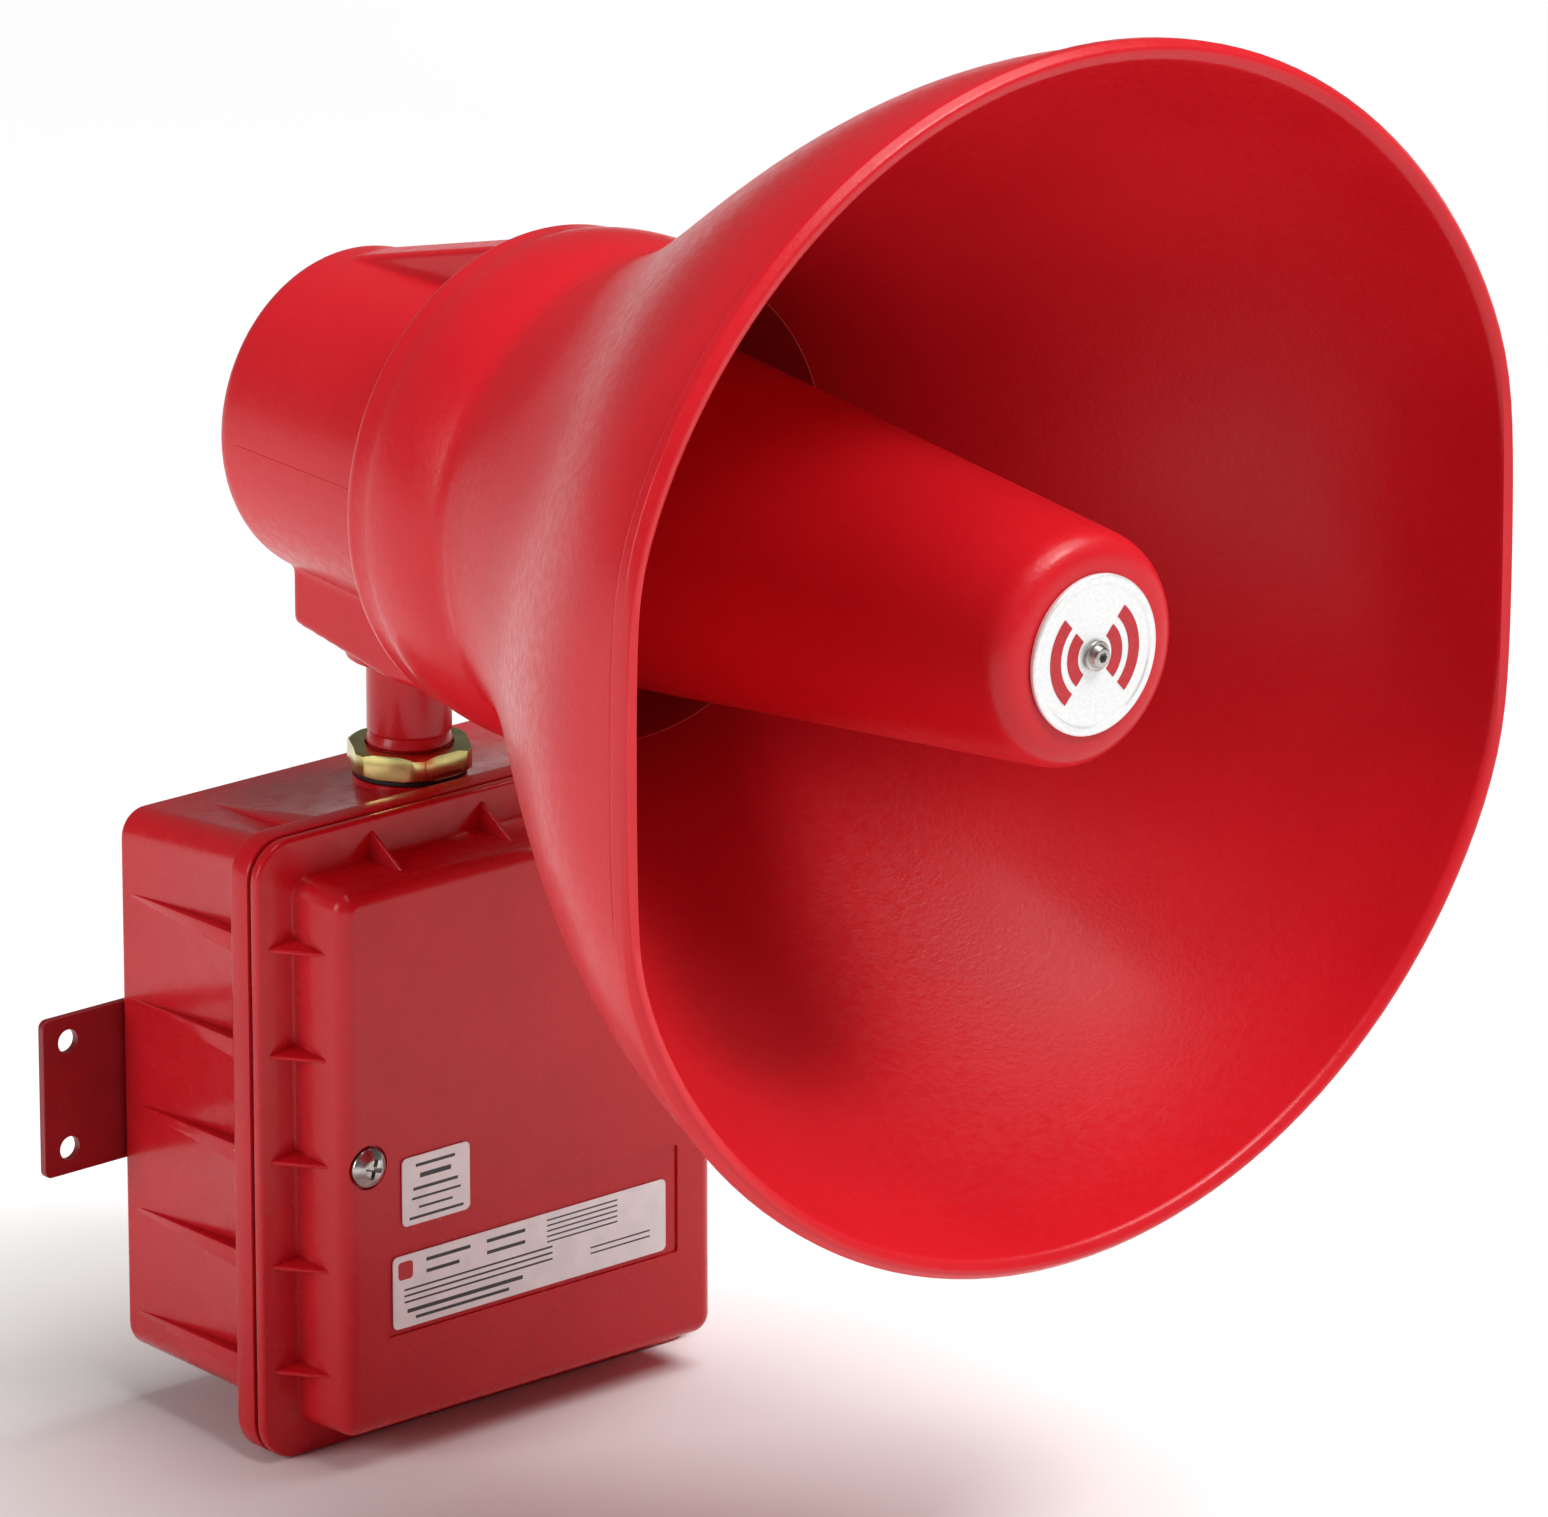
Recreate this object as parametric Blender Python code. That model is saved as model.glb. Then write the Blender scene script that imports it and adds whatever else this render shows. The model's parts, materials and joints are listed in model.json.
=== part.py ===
"""Alarm horn: a re-entrant horn loudspeaker on a pipe stem over a cast control box.

Sizes are in millimetres, and MM turns them into Blender's metres. The middle of the wall
strap's rear face is the origin, the wall is the plane Y = 0, the horn faces -Y and +Z is up.
Everything on the horn is placed from the point where the horn's axis crosses the stem's:
"ahead" is the distance from there towards the mouth, along -Y.
"""

from math import acos, cos, pi, radians, sin, sqrt

import bmesh
import bpy
from mathutils import Matrix, Vector

MM = 0.001

# Fits
GAP = 0.3            # between faces that touch
SCREW_PLAY = 0.3     # between a screw's shank and its hole, all round

# Wall strap
STRAP_WIDTH = 178.0
STRAP_HEIGHT = 40.3
STRAP_THICKNESS = 2.0
STRAP_CORNER = 2.0
STRAP_HOLE_RADIUS = 3.0
STRAP_HOLE_INSET = 7.6        # hole centre to the strap's end
STRAP_HOLE_SPACING = 27.4
STRAP_SCREW_SPACING = 60.0
STRAP_SCREW_SHANK = 2.3
STRAP_SCREW_HEAD = 4.2
STRAP_SCREW_HEAD_HEIGHT = 2.4

# Control box
BOX_WIDTH = 130.0
BOX_TOP = 73.0                # above the strap's centre
BOX_BOTTOM = 70.5             # below the strap's centre
BOX_DEPTH = 55.0
BOX_WALL = 3.0
BOX_CORNER = 10.0
BOX_REAR_FILLET = 9.0
BOX_DRAFT = 0.8               # how much narrower the rear is on each side
FLANGE_SIDE = 4.6             # how far the flange stands out of the box, on each side,
FLANGE_UP = 2.0               # above
FLANGE_DOWN = 11.5            # and below
FLANGE_THICKNESS = 6.7
FLANGE_CORNER = 10.0
FLANGE_EDGE = 0.8             # rounding of the flanges' edges

# Cover
GASKET_THICKNESS = 0.6
GASKET_INSET = 0.9
COVER_FLANGE = 2.8
COVER_DEPTH = 20.8
COVER_WALL = 2.5
PAN_SIDE = 10.8               # pan's foot to the flange's edge, on each side,
PAN_UP = 10.0                 # above
PAN_DOWN = 7.8                # and below
PAN_CORNER = 4.0
PAN_FILLET = 2.6
PAN_DRAFT = 0.5

# Ribs
RIB_PITCH = 26.8              # up the sides
RIB_CENTRE_Z = -5.0
RIB_COUNT = 5
TOP_RIB_PITCH = 34.3          # along the top of the cover
TOP_RIB_COUNT = 3
BOX_RIB_THIN = 1.0            # a box rib's width where it starts
BOX_RIB_THICK = 5.0           # and at the flange
BOX_RIB_START = 8.0           # from the box's rear face
BOX_TOP_RIB_X = 46.0
BOX_TOP_RIB_WIDTH = 9.0
GUSSET_REACH = 12.0           # how far a gusset runs up the pan
GUSSET_INSET = 3.0            # its foot's distance from the flange's edge
GUSSET_ROOT = 4.2             # its width in the corner between flange and pan
GUSSET_TIP = 1.2              # and at its ends

# Cover screws
COVER_SCREW_SPACING = 102.0
COVER_SCREW_Z = -5.0
COVER_SCREW_HEAD = 5.0
COVER_SCREW_HEAD_HEIGHT = 2.8
COVER_SCREW_SHANK = 2.4
COVER_SCREW_LENGTH = 20.0
COVER_SCREW_SINK = 1.0        # depth of the seat under the head
COVER_POST_RADIUS = 4.4

# Labels
LABEL_THICKNESS = 0.25
RATING_LABEL = (86.4, 18.6)   # width and height
RATING_LABEL_CENTRE = (-0.6, -39.3)
LABEL_RECESS = (92.0, 28.0)
LABEL_RECESS_CENTRE = (0.4, -36.0)
LABEL_RECESS_DEPTH = 0.6
DATE_LABEL = (21.1, 17.4)
DATE_LABEL_CENTRE = (-30.6, -13.9)
LABEL_CORNER = 1.5

# Stem
STEM_SETBACK = 34.0           # stem axis to the wall
PIPE_DIAMETER = 21.3          # half-inch pipe
PIPE_BORE = 15.8
PIPE_BELOW = 18.0             # how far it reaches into the box
PIPE_IN_BOSS = 13.5           # and up into the driver housing
STEM_WASHER_THICKNESS = 1.0
STEM_WASHER_RADIUS = 14.0
LOCKNUT_HEIGHT = 6.2
LOCKNUT_FLATS = 28.6
LOCKNUT_CORNERS = 31.4
INNER_NUT_HEIGHT = 3.5

# Conduit entry in the box's underside
CONDUIT_RADIUS = 10.65
PLUG_FLANGE = 13.5
PLUG_HEAD_HEIGHT = 4.0
PLUG_LENGTH = 10.0
PLUG_SLOT = 2.5
SPOT_FACE_RADIUS = 15.0
SPOT_FACE_DEPTH = 0.5

# Horn
HORN_RISE = 86.9              # horn axis above the box
HOUSING_REAR = -23.4
HOUSING_FRONT = 48.0
HOUSING_REAR_RADIUS = 40.3
HOUSING_FRONT_RADIUS = 45.0
HOUSING_EDGE = 5.0
HOUSING_WALL = 4.0
COLLAR_RADIUS = 53.5
COLLAR_THICKNESS = 3.0
TOP_RIB_WIDTH = 14.5
TOP_RIB_START = -12.0
TOP_RIB_HEIGHT = 56.3         # above the axis, at the collar
BLOCK_WIDTH = 40.0
BLOCK_REAR = -20.0
BLOCK_REAR_DROP = 49.9        # below the axis
BLOCK_FRONT_DROP = 56.0
BOSS_RADIUS = 15.5
BOSS_DROP = 57.5
LEAD_HOLE_RADIUS = 6.0
SET_SCREW_RADIUS = 2.0
SET_SCREW_LENGTH = 8.0

# Bell
BELL_PLATE = 4.0
BELL_WALL = 3.2
SHOULDER_RADIUS = 60.3
SHOULDER_ROUNDING = 7.0
DRUM_BULGE = 2.0              # the drum behind the flare swells a little in its middle
CREASE_AHEAD = 86.0           # where the flare leaves the drum
CREASE_RADIUS = 60.5
CREASE_SLOPE = 0.34
MOUTH_AHEAD = 240.8
MOUTH_RADIUS = 144.1
MOUTH_SLOPE = 0.15
MOUTH_DROP = 3.6              # the mouth's middle sits below the axis
FLAT_HALF_WIDTH = 145.0       # where the flat sides would meet the width, before the soft corner
FLAT_BLEND = 18.0
BEAD_WIDTH = 6.5              # along the axis
BEAD_HEIGHT = 2.4             # above the flare behind it

# Screws that hold the bell
BELL_SCREW_COUNT = 4
BELL_SCREW_RING = 48.5
BELL_SCREW_SHANK = 2.0
BELL_SCREW_HEAD = 3.6
BELL_SCREW_HEAD_HEIGHT = 2.4
BELL_SCREW_TURN = 45.0        # degrees round from the side

# Reflector, the closed bullet in the middle of the mouth
REFLECTOR_REAR = 70.0
REFLECTOR_FRONT = 243.0
REFLECTOR_REAR_RADIUS = 44.5
REFLECTOR_FRONT_RADIUS = 28.3
REFLECTOR_NOSE = 9.4
REFLECTOR_WALL = 2.5
BADGE_RADIUS = 18.9
BADGE_THICKNESS = 1.2
BADGE_RIM = 1.6
BADGE_SCREW_SHANK = 2.0
BADGE_SCREW_HEAD = 3.6
BADGE_SCREW_HEAD_HEIGHT = 2.2
BADGE_SCREW_LENGTH = 16.0

# Throat tube and the spider in its mouth
THROAT_RADIUS = 9.5
THROAT_MOUTH_RADIUS = 16.0
THROAT_TUBE_END = 215.0
THROAT_TUBE_WALL = 2.5
THROAT_SPIGOT_RADIUS = 15.7
THROAT_FLANGE_RADIUS = 30.0
THROAT_FLANGE = 3.0
SPIDER_LENGTH = 10.0
SPIDER_RING = 1.8
SPIDER_HUB = 6.0
SPIDER_VANE = 2.4
SPIDER_VANES = 3

# Driver
YOKE_REAR = -10.0
YOKE_PLATE = 5.0
MAGNET_RADIUS = 27.0
MAGNET_BORE = 14.5
MAGNET_LENGTH = 11.0
TOP_PLATE_RADIUS = 33.0
TOP_PLATE = 5.0
POLE_RADIUS = 11.5
COIL_GAP = 0.5                # air on each side of the voice coil
COIL_WALL = 0.7
COIL_LENGTH = 10.0
SKIN = 0.6                    # thickness of the diaphragm
DOME_RISE = 4.2
SURROUND_RADIUS = 24.0
CLAMP_LENGTH = 9.8
THROAT_PLATE = 4.0
THROAT_PLATE_RADIUS = 35.0
THROAT_NECK_RADIUS = 14.0
THROAT_SEAT_RADIUS = 37.0
THROAT_BORE = 8.0
DRIVER_SCREWS = 3
DRIVER_SCREW_RING = 30.0
DRIVER_SCREW_SHANK = 1.5
DRIVER_SCREW_HEAD = 2.4
DRIVER_SCREW_HEAD_HEIGHT = 2.2

# Circuit board and what is on it
BOARD_WIDTH = 86.0
BOARD_HEIGHT = 88.0
BOARD_CENTRE_Z = -16.0
BOARD_THICKNESS = 1.6
BOARD_STANDOFF = 9.0
BOARD_BOSS_RADIUS = 3.5
BOARD_SCREW_INSET = 5.5
BOARD_SCREW_SHANK = 1.5
BOARD_SCREW_HEAD = 2.8
BOARD_SCREW_HEAD_HEIGHT = 2.0
BOARD_SCREW_LENGTH = 8.0
CORE_CENTRE = (-18.0, -36.0)
CORE_WIDTH = 42.0
CORE_HEIGHT = 35.0
CORE_STACK = 14.0
CORE_LEG = 7.0
CORE_STANDOFF = 8.3
CAPACITORS = (("filter_capacitor", 22.0, -42.0, 8.0, 25.0), ("coupling_capacitor", 22.0, -20.0, 5.0, 14.0))
TERMINAL_BLOCK = (36.0, 10.0, 12.0)    # width, height, depth
TERMINAL_CENTRE = (12.0, 16.0)
TERMINAL_COUNT = 4
TERMINAL_SCREW_RADIUS = 2.2
POT_CENTRE = (-28.0, 12.0)
POT_BODY = 12.0
POT_DEPTH = 8.0
POT_SHAFT_RADIUS = 3.0
POT_SHAFT_LENGTH = 10.0
KNOB_RADIUS = 7.0
KNOB_LENGTH = 9.0
KNOB_FLUTES = 8

# Leads from the driver to the terminal block
LEAD_RADIUS = 0.9
LEAD_SPREAD = 1.7             # each lead's distance from the stem axis
SPLICE_RADIUS = 4.2
SPLICE_LENGTH = 8.0
SPLICE_TOP_DROP = 25.0        # below the top of the box

# Roundness
FINE = 48
MEDIUM = 32
COARSE = 20
SMALL = 12
CORNER_STEPS = 4
FLARE_STEPS = 7

# Planes worked out from the sizes above
BOX_REAR_Y = -STRAP_THICKNESS - GAP
BOX_FRONT_Y = BOX_REAR_Y - BOX_DEPTH
BOX_FLOOR_Y = BOX_REAR_Y - BOX_WALL
FLANGE_REAR_Y = BOX_FRONT_Y + FLANGE_THICKNESS
COVER_REAR_Y = BOX_FRONT_Y - GAP - GASKET_THICKNESS - GAP
COVER_FLANGE_Y = COVER_REAR_Y - COVER_FLANGE
COVER_FRONT_Y = COVER_REAR_Y - COVER_DEPTH
FLANGE_HALF = BOX_WIDTH / 2 + FLANGE_SIDE
FLANGE_TOP_Z = BOX_TOP + FLANGE_UP
FLANGE_BOTTOM_Z = -BOX_BOTTOM - FLANGE_DOWN
SCREW_SEAT_Y = COVER_FRONT_Y + COVER_SCREW_SINK - GAP
POST_END_Y = COVER_FRONT_Y + max(COVER_WALL, COVER_SCREW_SINK + GAP) + GAP
BOARD_REAR_Y = BOX_FLOOR_Y - BOARD_STANDOFF - GAP
BOARD_FRONT_Y = BOARD_REAR_Y - BOARD_THICKNESS
COMPONENT_Y = BOARD_FRONT_Y - GAP
HORN_Z = BOX_TOP + HORN_RISE
PIPE_RADIUS = PIPE_DIAMETER / 2
PIPE_TOP_Z = HORN_Z - BOSS_DROP + PIPE_IN_BOSS
SPLICE_TOP_Z = BOX_TOP - SPLICE_TOP_DROP
MAGNET_REAR = YOKE_REAR + YOKE_PLATE + GAP
TOP_PLATE_REAR = MAGNET_REAR + MAGNET_LENGTH + GAP
TOP_PLATE_FRONT = TOP_PLATE_REAR + TOP_PLATE
TOP_PLATE_BORE = POLE_RADIUS + COIL_GAP + COIL_WALL + COIL_GAP
THROAT_PLATE_REAR = TOP_PLATE_FRONT + GAP + CLAMP_LENGTH + GAP
BELL_REAR = HOUSING_FRONT + GAP + GASKET_THICKNESS + GAP
BELL_PLATE_FRONT = BELL_REAR + BELL_PLATE
BADGE_REAR = REFLECTOR_FRONT + GAP
BADGE_FRONT = BADGE_REAR + BADGE_THICKNESS
SPIDER_FRONT = REFLECTOR_FRONT - REFLECTOR_WALL - GAP

AHEAD = Vector((0, -1, 0))
UP = Vector((0, 0, 1))


# ---------------------------------------------------------------- tools

def clear_scene():
    for old in list(bpy.data.objects):
        bpy.data.objects.remove(old, do_unlink=True)


def finish_material(name, colour, roughness, metallic=0.0):
    material = bpy.data.materials.new(name)
    material.use_nodes = True
    shader = material.node_tree.nodes["Principled BSDF"]
    shader.inputs["Base Color"].default_value = (*colour, 1.0)
    shader.inputs["Roughness"].default_value = roughness
    shader.inputs["Metallic"].default_value = metallic
    return material


def place(name, bm, material, parent=None, at=(0, 0, 0)):
    """Turn a bmesh in millimetres into an object whose origin is at, in its parent's frame."""
    bmesh.ops.recalc_face_normals(bm, faces=bm.faces)
    bmesh.ops.scale(bm, vec=(MM, MM, MM), verts=bm.verts)
    mesh = bpy.data.meshes.new(name)
    bm.to_mesh(mesh)
    bm.free()
    mesh.shade_smooth()
    mesh.set_sharp_from_angle(angle=radians(32))
    piece = bpy.data.objects.new(name, mesh)
    bpy.context.collection.objects.link(piece)
    if material:
        mesh.materials.append(material)
    piece.parent = parent
    piece.location = Vector(at) * MM
    return piece


def pivot(name, at, parent=None):
    """An empty on a joint's axis, for the pieces that move about it."""
    empty = bpy.data.objects.new(name, None)
    bpy.context.collection.objects.link(empty)
    empty.parent = parent
    empty.location = Vector(at) * MM
    return empty


def combine(piece, tool, operation):
    """Add a Boolean of tool to piece, and leave tool out of the build."""
    modifier = piece.modifiers.new(tool.name, "BOOLEAN")
    modifier.operation = operation
    modifier.solver = "EXACT"
    modifier.object = tool
    tool.hide_render = True
    tool.display_type = "WIRE"
    tool.parent = piece.parent


def turned_mesh(outline, axis, steps, bm=None, centre=(0, 0, 0)):
    """Turn (along, radius) points about an axis. An outline ends on the axis or closes itself."""
    bm = bm or bmesh.new()
    side = Vector((1, 0, 0)) if abs(axis.x) < 0.5 else Vector((0, 0, 1))
    centre = Vector(centre)
    points = [bm.verts.new(centre + axis * along + side * radius) for along, radius in outline]
    pairs = list(zip(points, points[1:]))
    if outline[0][1] > 0 or outline[-1][1] > 0:
        pairs.append((points[-1], points[0]))
    edges = [bm.edges.new(pair) for pair in pairs]
    bmesh.ops.spin(
        bm, geom=points + edges, cent=centre, axis=axis, angle=2 * pi, steps=steps, use_merge=True
    )
    bmesh.ops.remove_doubles(bm, verts=bm.verts, dist=1e-5)
    return bm


def turned(name, outline, material, axis=UP, steps=MEDIUM, parent=None, at=(0, 0, 0)):
    return place(name, turned_mesh(outline, axis, steps), material, parent, at)


def cylinder_tool(name, radius, start, end, axis, centre=(0, 0, 0), steps=COARSE, parent=None):
    outline = [(start, 0), (start, radius), (end, radius), (end, 0)]
    return place(name, turned_mesh(outline, axis, steps, centre=centre), None, parent)


def cylinders_tool(name, radius, start, end, axis, centres, steps=SMALL, parent=None):
    """Several separate cylinders in one tool."""
    bm = bmesh.new()
    for centre in centres:
        outline = [(start, 0), (start, radius), (end, radius), (end, 0)]
        turned_mesh(outline, axis, steps, bm, centre)
    return place(name, bm, None, parent)


def loft_mesh(loops, bm=None):
    """Join closed loops of as many points each, and cap the first and the last."""
    bm = bm or bmesh.new()
    rings = [[bm.verts.new(point) for point in loop] for loop in loops]
    count = len(rings[0])
    for low, high in zip(rings, rings[1:]):
        for i in range(count):
            j = (i + 1) % count
            bm.faces.new((low[i], low[j], high[j], high[i]))
    bm.faces.new(rings[0])
    bm.faces.new(rings[-1])
    return bm


def lofted(name, loops, material, parent=None, at=(0, 0, 0)):
    return place(name, loft_mesh(loops), material, parent, at)


def rounded_outline(left, right, low, high, radius, steps=CORNER_STEPS):
    """Corner points of a rectangle with round corners, as (x, z) pairs, counter-clockwise."""
    corners = ((right - radius, high - radius), (left + radius, high - radius),
               (left + radius, low + radius), (right - radius, low + radius))
    points = []
    for quarter, (x, z) in enumerate(corners):
        for step in range(steps + 1):
            angle = (quarter + step / steps) * pi / 2
            points.append((x + radius * cos(angle), z + radius * sin(angle)))
    return points


def upright_loop(y, half_width, low, high, radius, steps=CORNER_STEPS):
    outline = rounded_outline(-half_width, half_width, low, high, radius, steps)
    return [Vector((x, y, z)) for x, z in outline]


def block_mesh(x, y, z, bm=None):
    """A box between pairs of coordinates."""
    loop = [(x[0], z[0]), (x[1], z[0]), (x[1], z[1]), (x[0], z[1])]
    return loft_mesh([[Vector((a, depth, b)) for a, b in loop] for depth in y], bm)


def side_plate(outline, half_width, bm=None):
    """Extrude (ahead, up) points sideways to both sides of the horn's middle plane."""
    loops = [[Vector((x, -ahead, up)) for ahead, up in outline] for x in (-half_width, half_width)]
    return loft_mesh(loops, bm)


def hull(bm, points):
    made = bmesh.ops.convex_hull(bm, input=[bm.verts.new(point) for point in points])
    inner = [item for item in made["geom_interior"] if isinstance(item, bmesh.types.BMVert)]
    bmesh.ops.delete(bm, geom=inner, context="VERTS")


def arc(centre, radius, start, end, steps):
    """Points on an arc, as (along, radius) pairs; angles in degrees from along."""
    turn = [radians(start + (end - start) * step / steps) for step in range(steps + 1)]
    return [(centre[0] + radius * cos(angle), centre[1] + radius * sin(angle)) for angle in turn]


def ring_points(count, radius, turn=0.0, ahead=0.0):
    """Points round the horn's axis."""
    angles = [radians(turn) + 2 * pi * step / count for step in range(count)]
    return [Vector((radius * cos(angle), -ahead, radius * sin(angle))) for angle in angles]


def screw_outline(head_start, head_radius, head_height, shank_radius, length, socket=0.5):
    """A round-headed screw pointing back along its axis, from head top to tip."""
    top = head_start + head_height
    return [
        (top - socket * head_height, 0),
        (top - socket * head_height, head_radius * 0.45),
        (top, head_radius * 0.5),
        (top - head_height * 0.4, head_radius),
        (head_start, head_radius),
        (head_start, shank_radius),
        (head_start - length, shank_radius),
        (head_start - length, 0),
    ]


# ---------------------------------------------------------------- control box

def flange_outline(y, inset=0.0):
    return upright_loop(
        y, FLANGE_HALF - inset, FLANGE_BOTTOM_Z + inset, FLANGE_TOP_Z - inset, FLANGE_CORNER - inset
    )


def box_outline(y, inset, radius):
    """The box's body, narrower towards the rear by its draft."""
    towards_rear = (y - FLANGE_REAR_Y) / (BOX_REAR_Y - FLANGE_REAR_Y)
    half = BOX_WIDTH / 2 - BOX_DRAFT * max(0.0, towards_rear) - inset
    return upright_loop(y, half, -BOX_BOTTOM + inset, BOX_TOP - inset, radius)


def box_side_ribs(bm):
    first = RIB_CENTRE_Z - RIB_PITCH * (RIB_COUNT - 1) / 2
    start_y = BOX_REAR_Y - BOX_RIB_START
    inside = BOX_WALL * 0.6
    for side in (-1, 1):
        for index in range(RIB_COUNT):
            z = first + index * RIB_PITCH
            points = []
            for y, reach, foot, width in (
                (start_y, BOX_WIDTH / 2 - BOX_DRAFT - 0.2, BOX_WIDTH / 2 - BOX_DRAFT - inside, BOX_RIB_THIN),
                (FLANGE_REAR_Y - 0.5, FLANGE_HALF - 0.6, BOX_WIDTH / 2 - inside, BOX_RIB_THICK),
            ):
                for x in (foot, reach):
                    points += [Vector((side * x, y, z + half)) for half in (-width / 2, width / 2)]
            hull(bm, points)


def box_top_ribs(bm):
    for x in (-BOX_TOP_RIB_X, BOX_TOP_RIB_X):
        points = []
        for y, high, width in (
            (BOX_REAR_Y - BOX_REAR_FILLET - BOX_RIB_START, BOX_TOP - 0.1, BOX_RIB_THIN),
            (FLANGE_REAR_Y - 0.5, FLANGE_TOP_Z - 0.5, BOX_TOP_RIB_WIDTH),
        ):
            for z in (BOX_TOP - BOX_WALL * 0.6, high):
                points += [Vector((x + half, y, z)) for half in (-width / 2, width / 2)]
        hull(bm, points)


def board_screw_places():
    x = BOARD_WIDTH / 2 - BOARD_SCREW_INSET
    z = BOARD_HEIGHT / 2 - BOARD_SCREW_INSET
    return [(sx * x, BOARD_CENTRE_Z + sz * z) for sx in (-1, 1) for sz in (-1, 1)]


def build_box(red):
    fillet = [
        box_outline(
            BOX_REAR_Y - BOX_REAR_FILLET * (1 - cos(angle)),
            BOX_REAR_FILLET * (1 - sin(angle)),
            BOX_CORNER - BOX_REAR_FILLET * (1 - sin(angle)),
        )
        for angle in (pi / 2 * step / CORNER_STEPS for step in range(CORNER_STEPS + 1))
    ]
    cavity_radius = BOX_CORNER - BOX_WALL
    loops = fillet + [
        box_outline(FLANGE_REAR_Y, 0, BOX_CORNER),
        flange_outline(FLANGE_REAR_Y, FLANGE_EDGE),
        flange_outline(FLANGE_REAR_Y - FLANGE_EDGE),
        flange_outline(BOX_FRONT_Y),
        box_outline(BOX_FRONT_Y, BOX_WALL, cavity_radius),
        box_outline(BOX_FLOOR_Y, BOX_WALL, cavity_radius),
    ]
    box = lofted("enclosure_box", loops, red)

    bm = bmesh.new()
    box_side_ribs(bm)
    box_top_ribs(bm)
    combine(box, place("box_ribs_tool", bm, None), "UNION")

    bm = bmesh.new()
    for x in (-COVER_SCREW_SPACING / 2, COVER_SCREW_SPACING / 2):
        outline = [(0, 0), (0, COVER_POST_RADIUS)]
        reach = BOX_REAR_Y - BOX_WALL / 2 - POST_END_Y
        outline += [(reach, COVER_POST_RADIUS), (reach, 0)]
        turned_mesh(outline, AHEAD, SMALL, bm, (x, BOX_REAR_Y - BOX_WALL / 2, COVER_SCREW_Z))
    for x, z in board_screw_places():
        reach = BOX_WALL / 2 + BOARD_STANDOFF
        outline = [(0, 0), (0, BOARD_BOSS_RADIUS), (reach, BOARD_BOSS_RADIUS), (reach, 0)]
        turned_mesh(outline, AHEAD, SMALL, bm, (x, BOX_REAR_Y - BOX_WALL / 2, z))
    combine(box, place("box_posts_tool", bm, None), "UNION")

    bm = bmesh.new()
    cover_hole = COVER_SCREW_SHANK + SCREW_PLAY
    for x in (-COVER_SCREW_SPACING / 2, COVER_SCREW_SPACING / 2):
        outline = [(-1, 0), (-1, cover_hole), (COVER_SCREW_LENGTH, cover_hole), (COVER_SCREW_LENGTH, 0)]
        turned_mesh(outline, -AHEAD, SMALL, bm, (x, POST_END_Y, COVER_SCREW_Z))
    board_hole = BOARD_SCREW_SHANK + SCREW_PLAY
    for x, z in board_screw_places():
        deep = BOARD_SCREW_LENGTH - BOARD_THICKNESS
        outline = [(-1, 0), (-1, board_hole), (deep, board_hole), (deep, 0)]
        turned_mesh(outline, -AHEAD, SMALL, bm, (x, BOX_FLOOR_Y - BOARD_STANDOFF, z))
    for x in (-STRAP_SCREW_SPACING / 2, STRAP_SCREW_SPACING / 2):
        hole = STRAP_SCREW_SHANK + SCREW_PLAY
        outline = [(-1, 0), (-1, hole), (BOX_WALL + 1, hole), (BOX_WALL + 1, 0)]
        turned_mesh(outline, AHEAD, SMALL, bm, (x, BOX_REAR_Y, 0))
    outline = [(-1, 0), (-1, PIPE_RADIUS + GAP), (BOX_WALL + 1, PIPE_RADIUS + GAP), (BOX_WALL + 1, 0)]
    turned_mesh(outline, -UP, COARSE, bm, (0, -STEM_SETBACK, BOX_TOP))
    outline = [
        (-1, 0),
        (-1, SPOT_FACE_RADIUS),
        (SPOT_FACE_DEPTH, SPOT_FACE_RADIUS),
        (SPOT_FACE_DEPTH, CONDUIT_RADIUS + GAP),
        (BOX_WALL + 1, CONDUIT_RADIUS + GAP),
        (BOX_WALL + 1, 0),
    ]
    turned_mesh(outline, UP, COARSE, bm, (0, -STEM_SETBACK, -BOX_BOTTOM))
    combine(box, place("box_holes_tool", bm, None), "DIFFERENCE")


def build_strap(steel, screw_steel):
    half = STRAP_WIDTH / 2
    loops = [upright_loop(y, half, -STRAP_HEIGHT / 2, STRAP_HEIGHT / 2, STRAP_CORNER, 3)
             for y in (0, -STRAP_THICKNESS)]
    strap = lofted("wall_strap", loops, steel)
    places = [(side * (half - STRAP_HOLE_INSET), 0, end * STRAP_HOLE_SPACING / 2)
              for side in (-1, 1) for end in (-1, 1)]
    holes = cylinders_tool("strap_holes_tool", STRAP_HOLE_RADIUS, -1, STRAP_THICKNESS + 1, AHEAD,
                           places)
    combine(strap, holes, "DIFFERENCE")
    places = [(side * STRAP_SCREW_SPACING / 2, 0, 0) for side in (-1, 1)]
    taps = cylinders_tool("strap_taps_tool", STRAP_SCREW_SHANK + SCREW_PLAY, -1, STRAP_THICKNESS + 1,
                          AHEAD, places)
    combine(strap, taps, "DIFFERENCE")
    length = -GAP - (BOX_FLOOR_Y - GAP)
    outline = screw_outline(0, STRAP_SCREW_HEAD, STRAP_SCREW_HEAD_HEIGHT, STRAP_SCREW_SHANK, length)
    for side, word in ((-1, "left"), (1, "right")):
        turned("strap_screw_" + word, outline, screw_steel, AHEAD, SMALL,
               at=(side * STRAP_SCREW_SPACING / 2, BOX_FLOOR_Y - GAP, 0))


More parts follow.
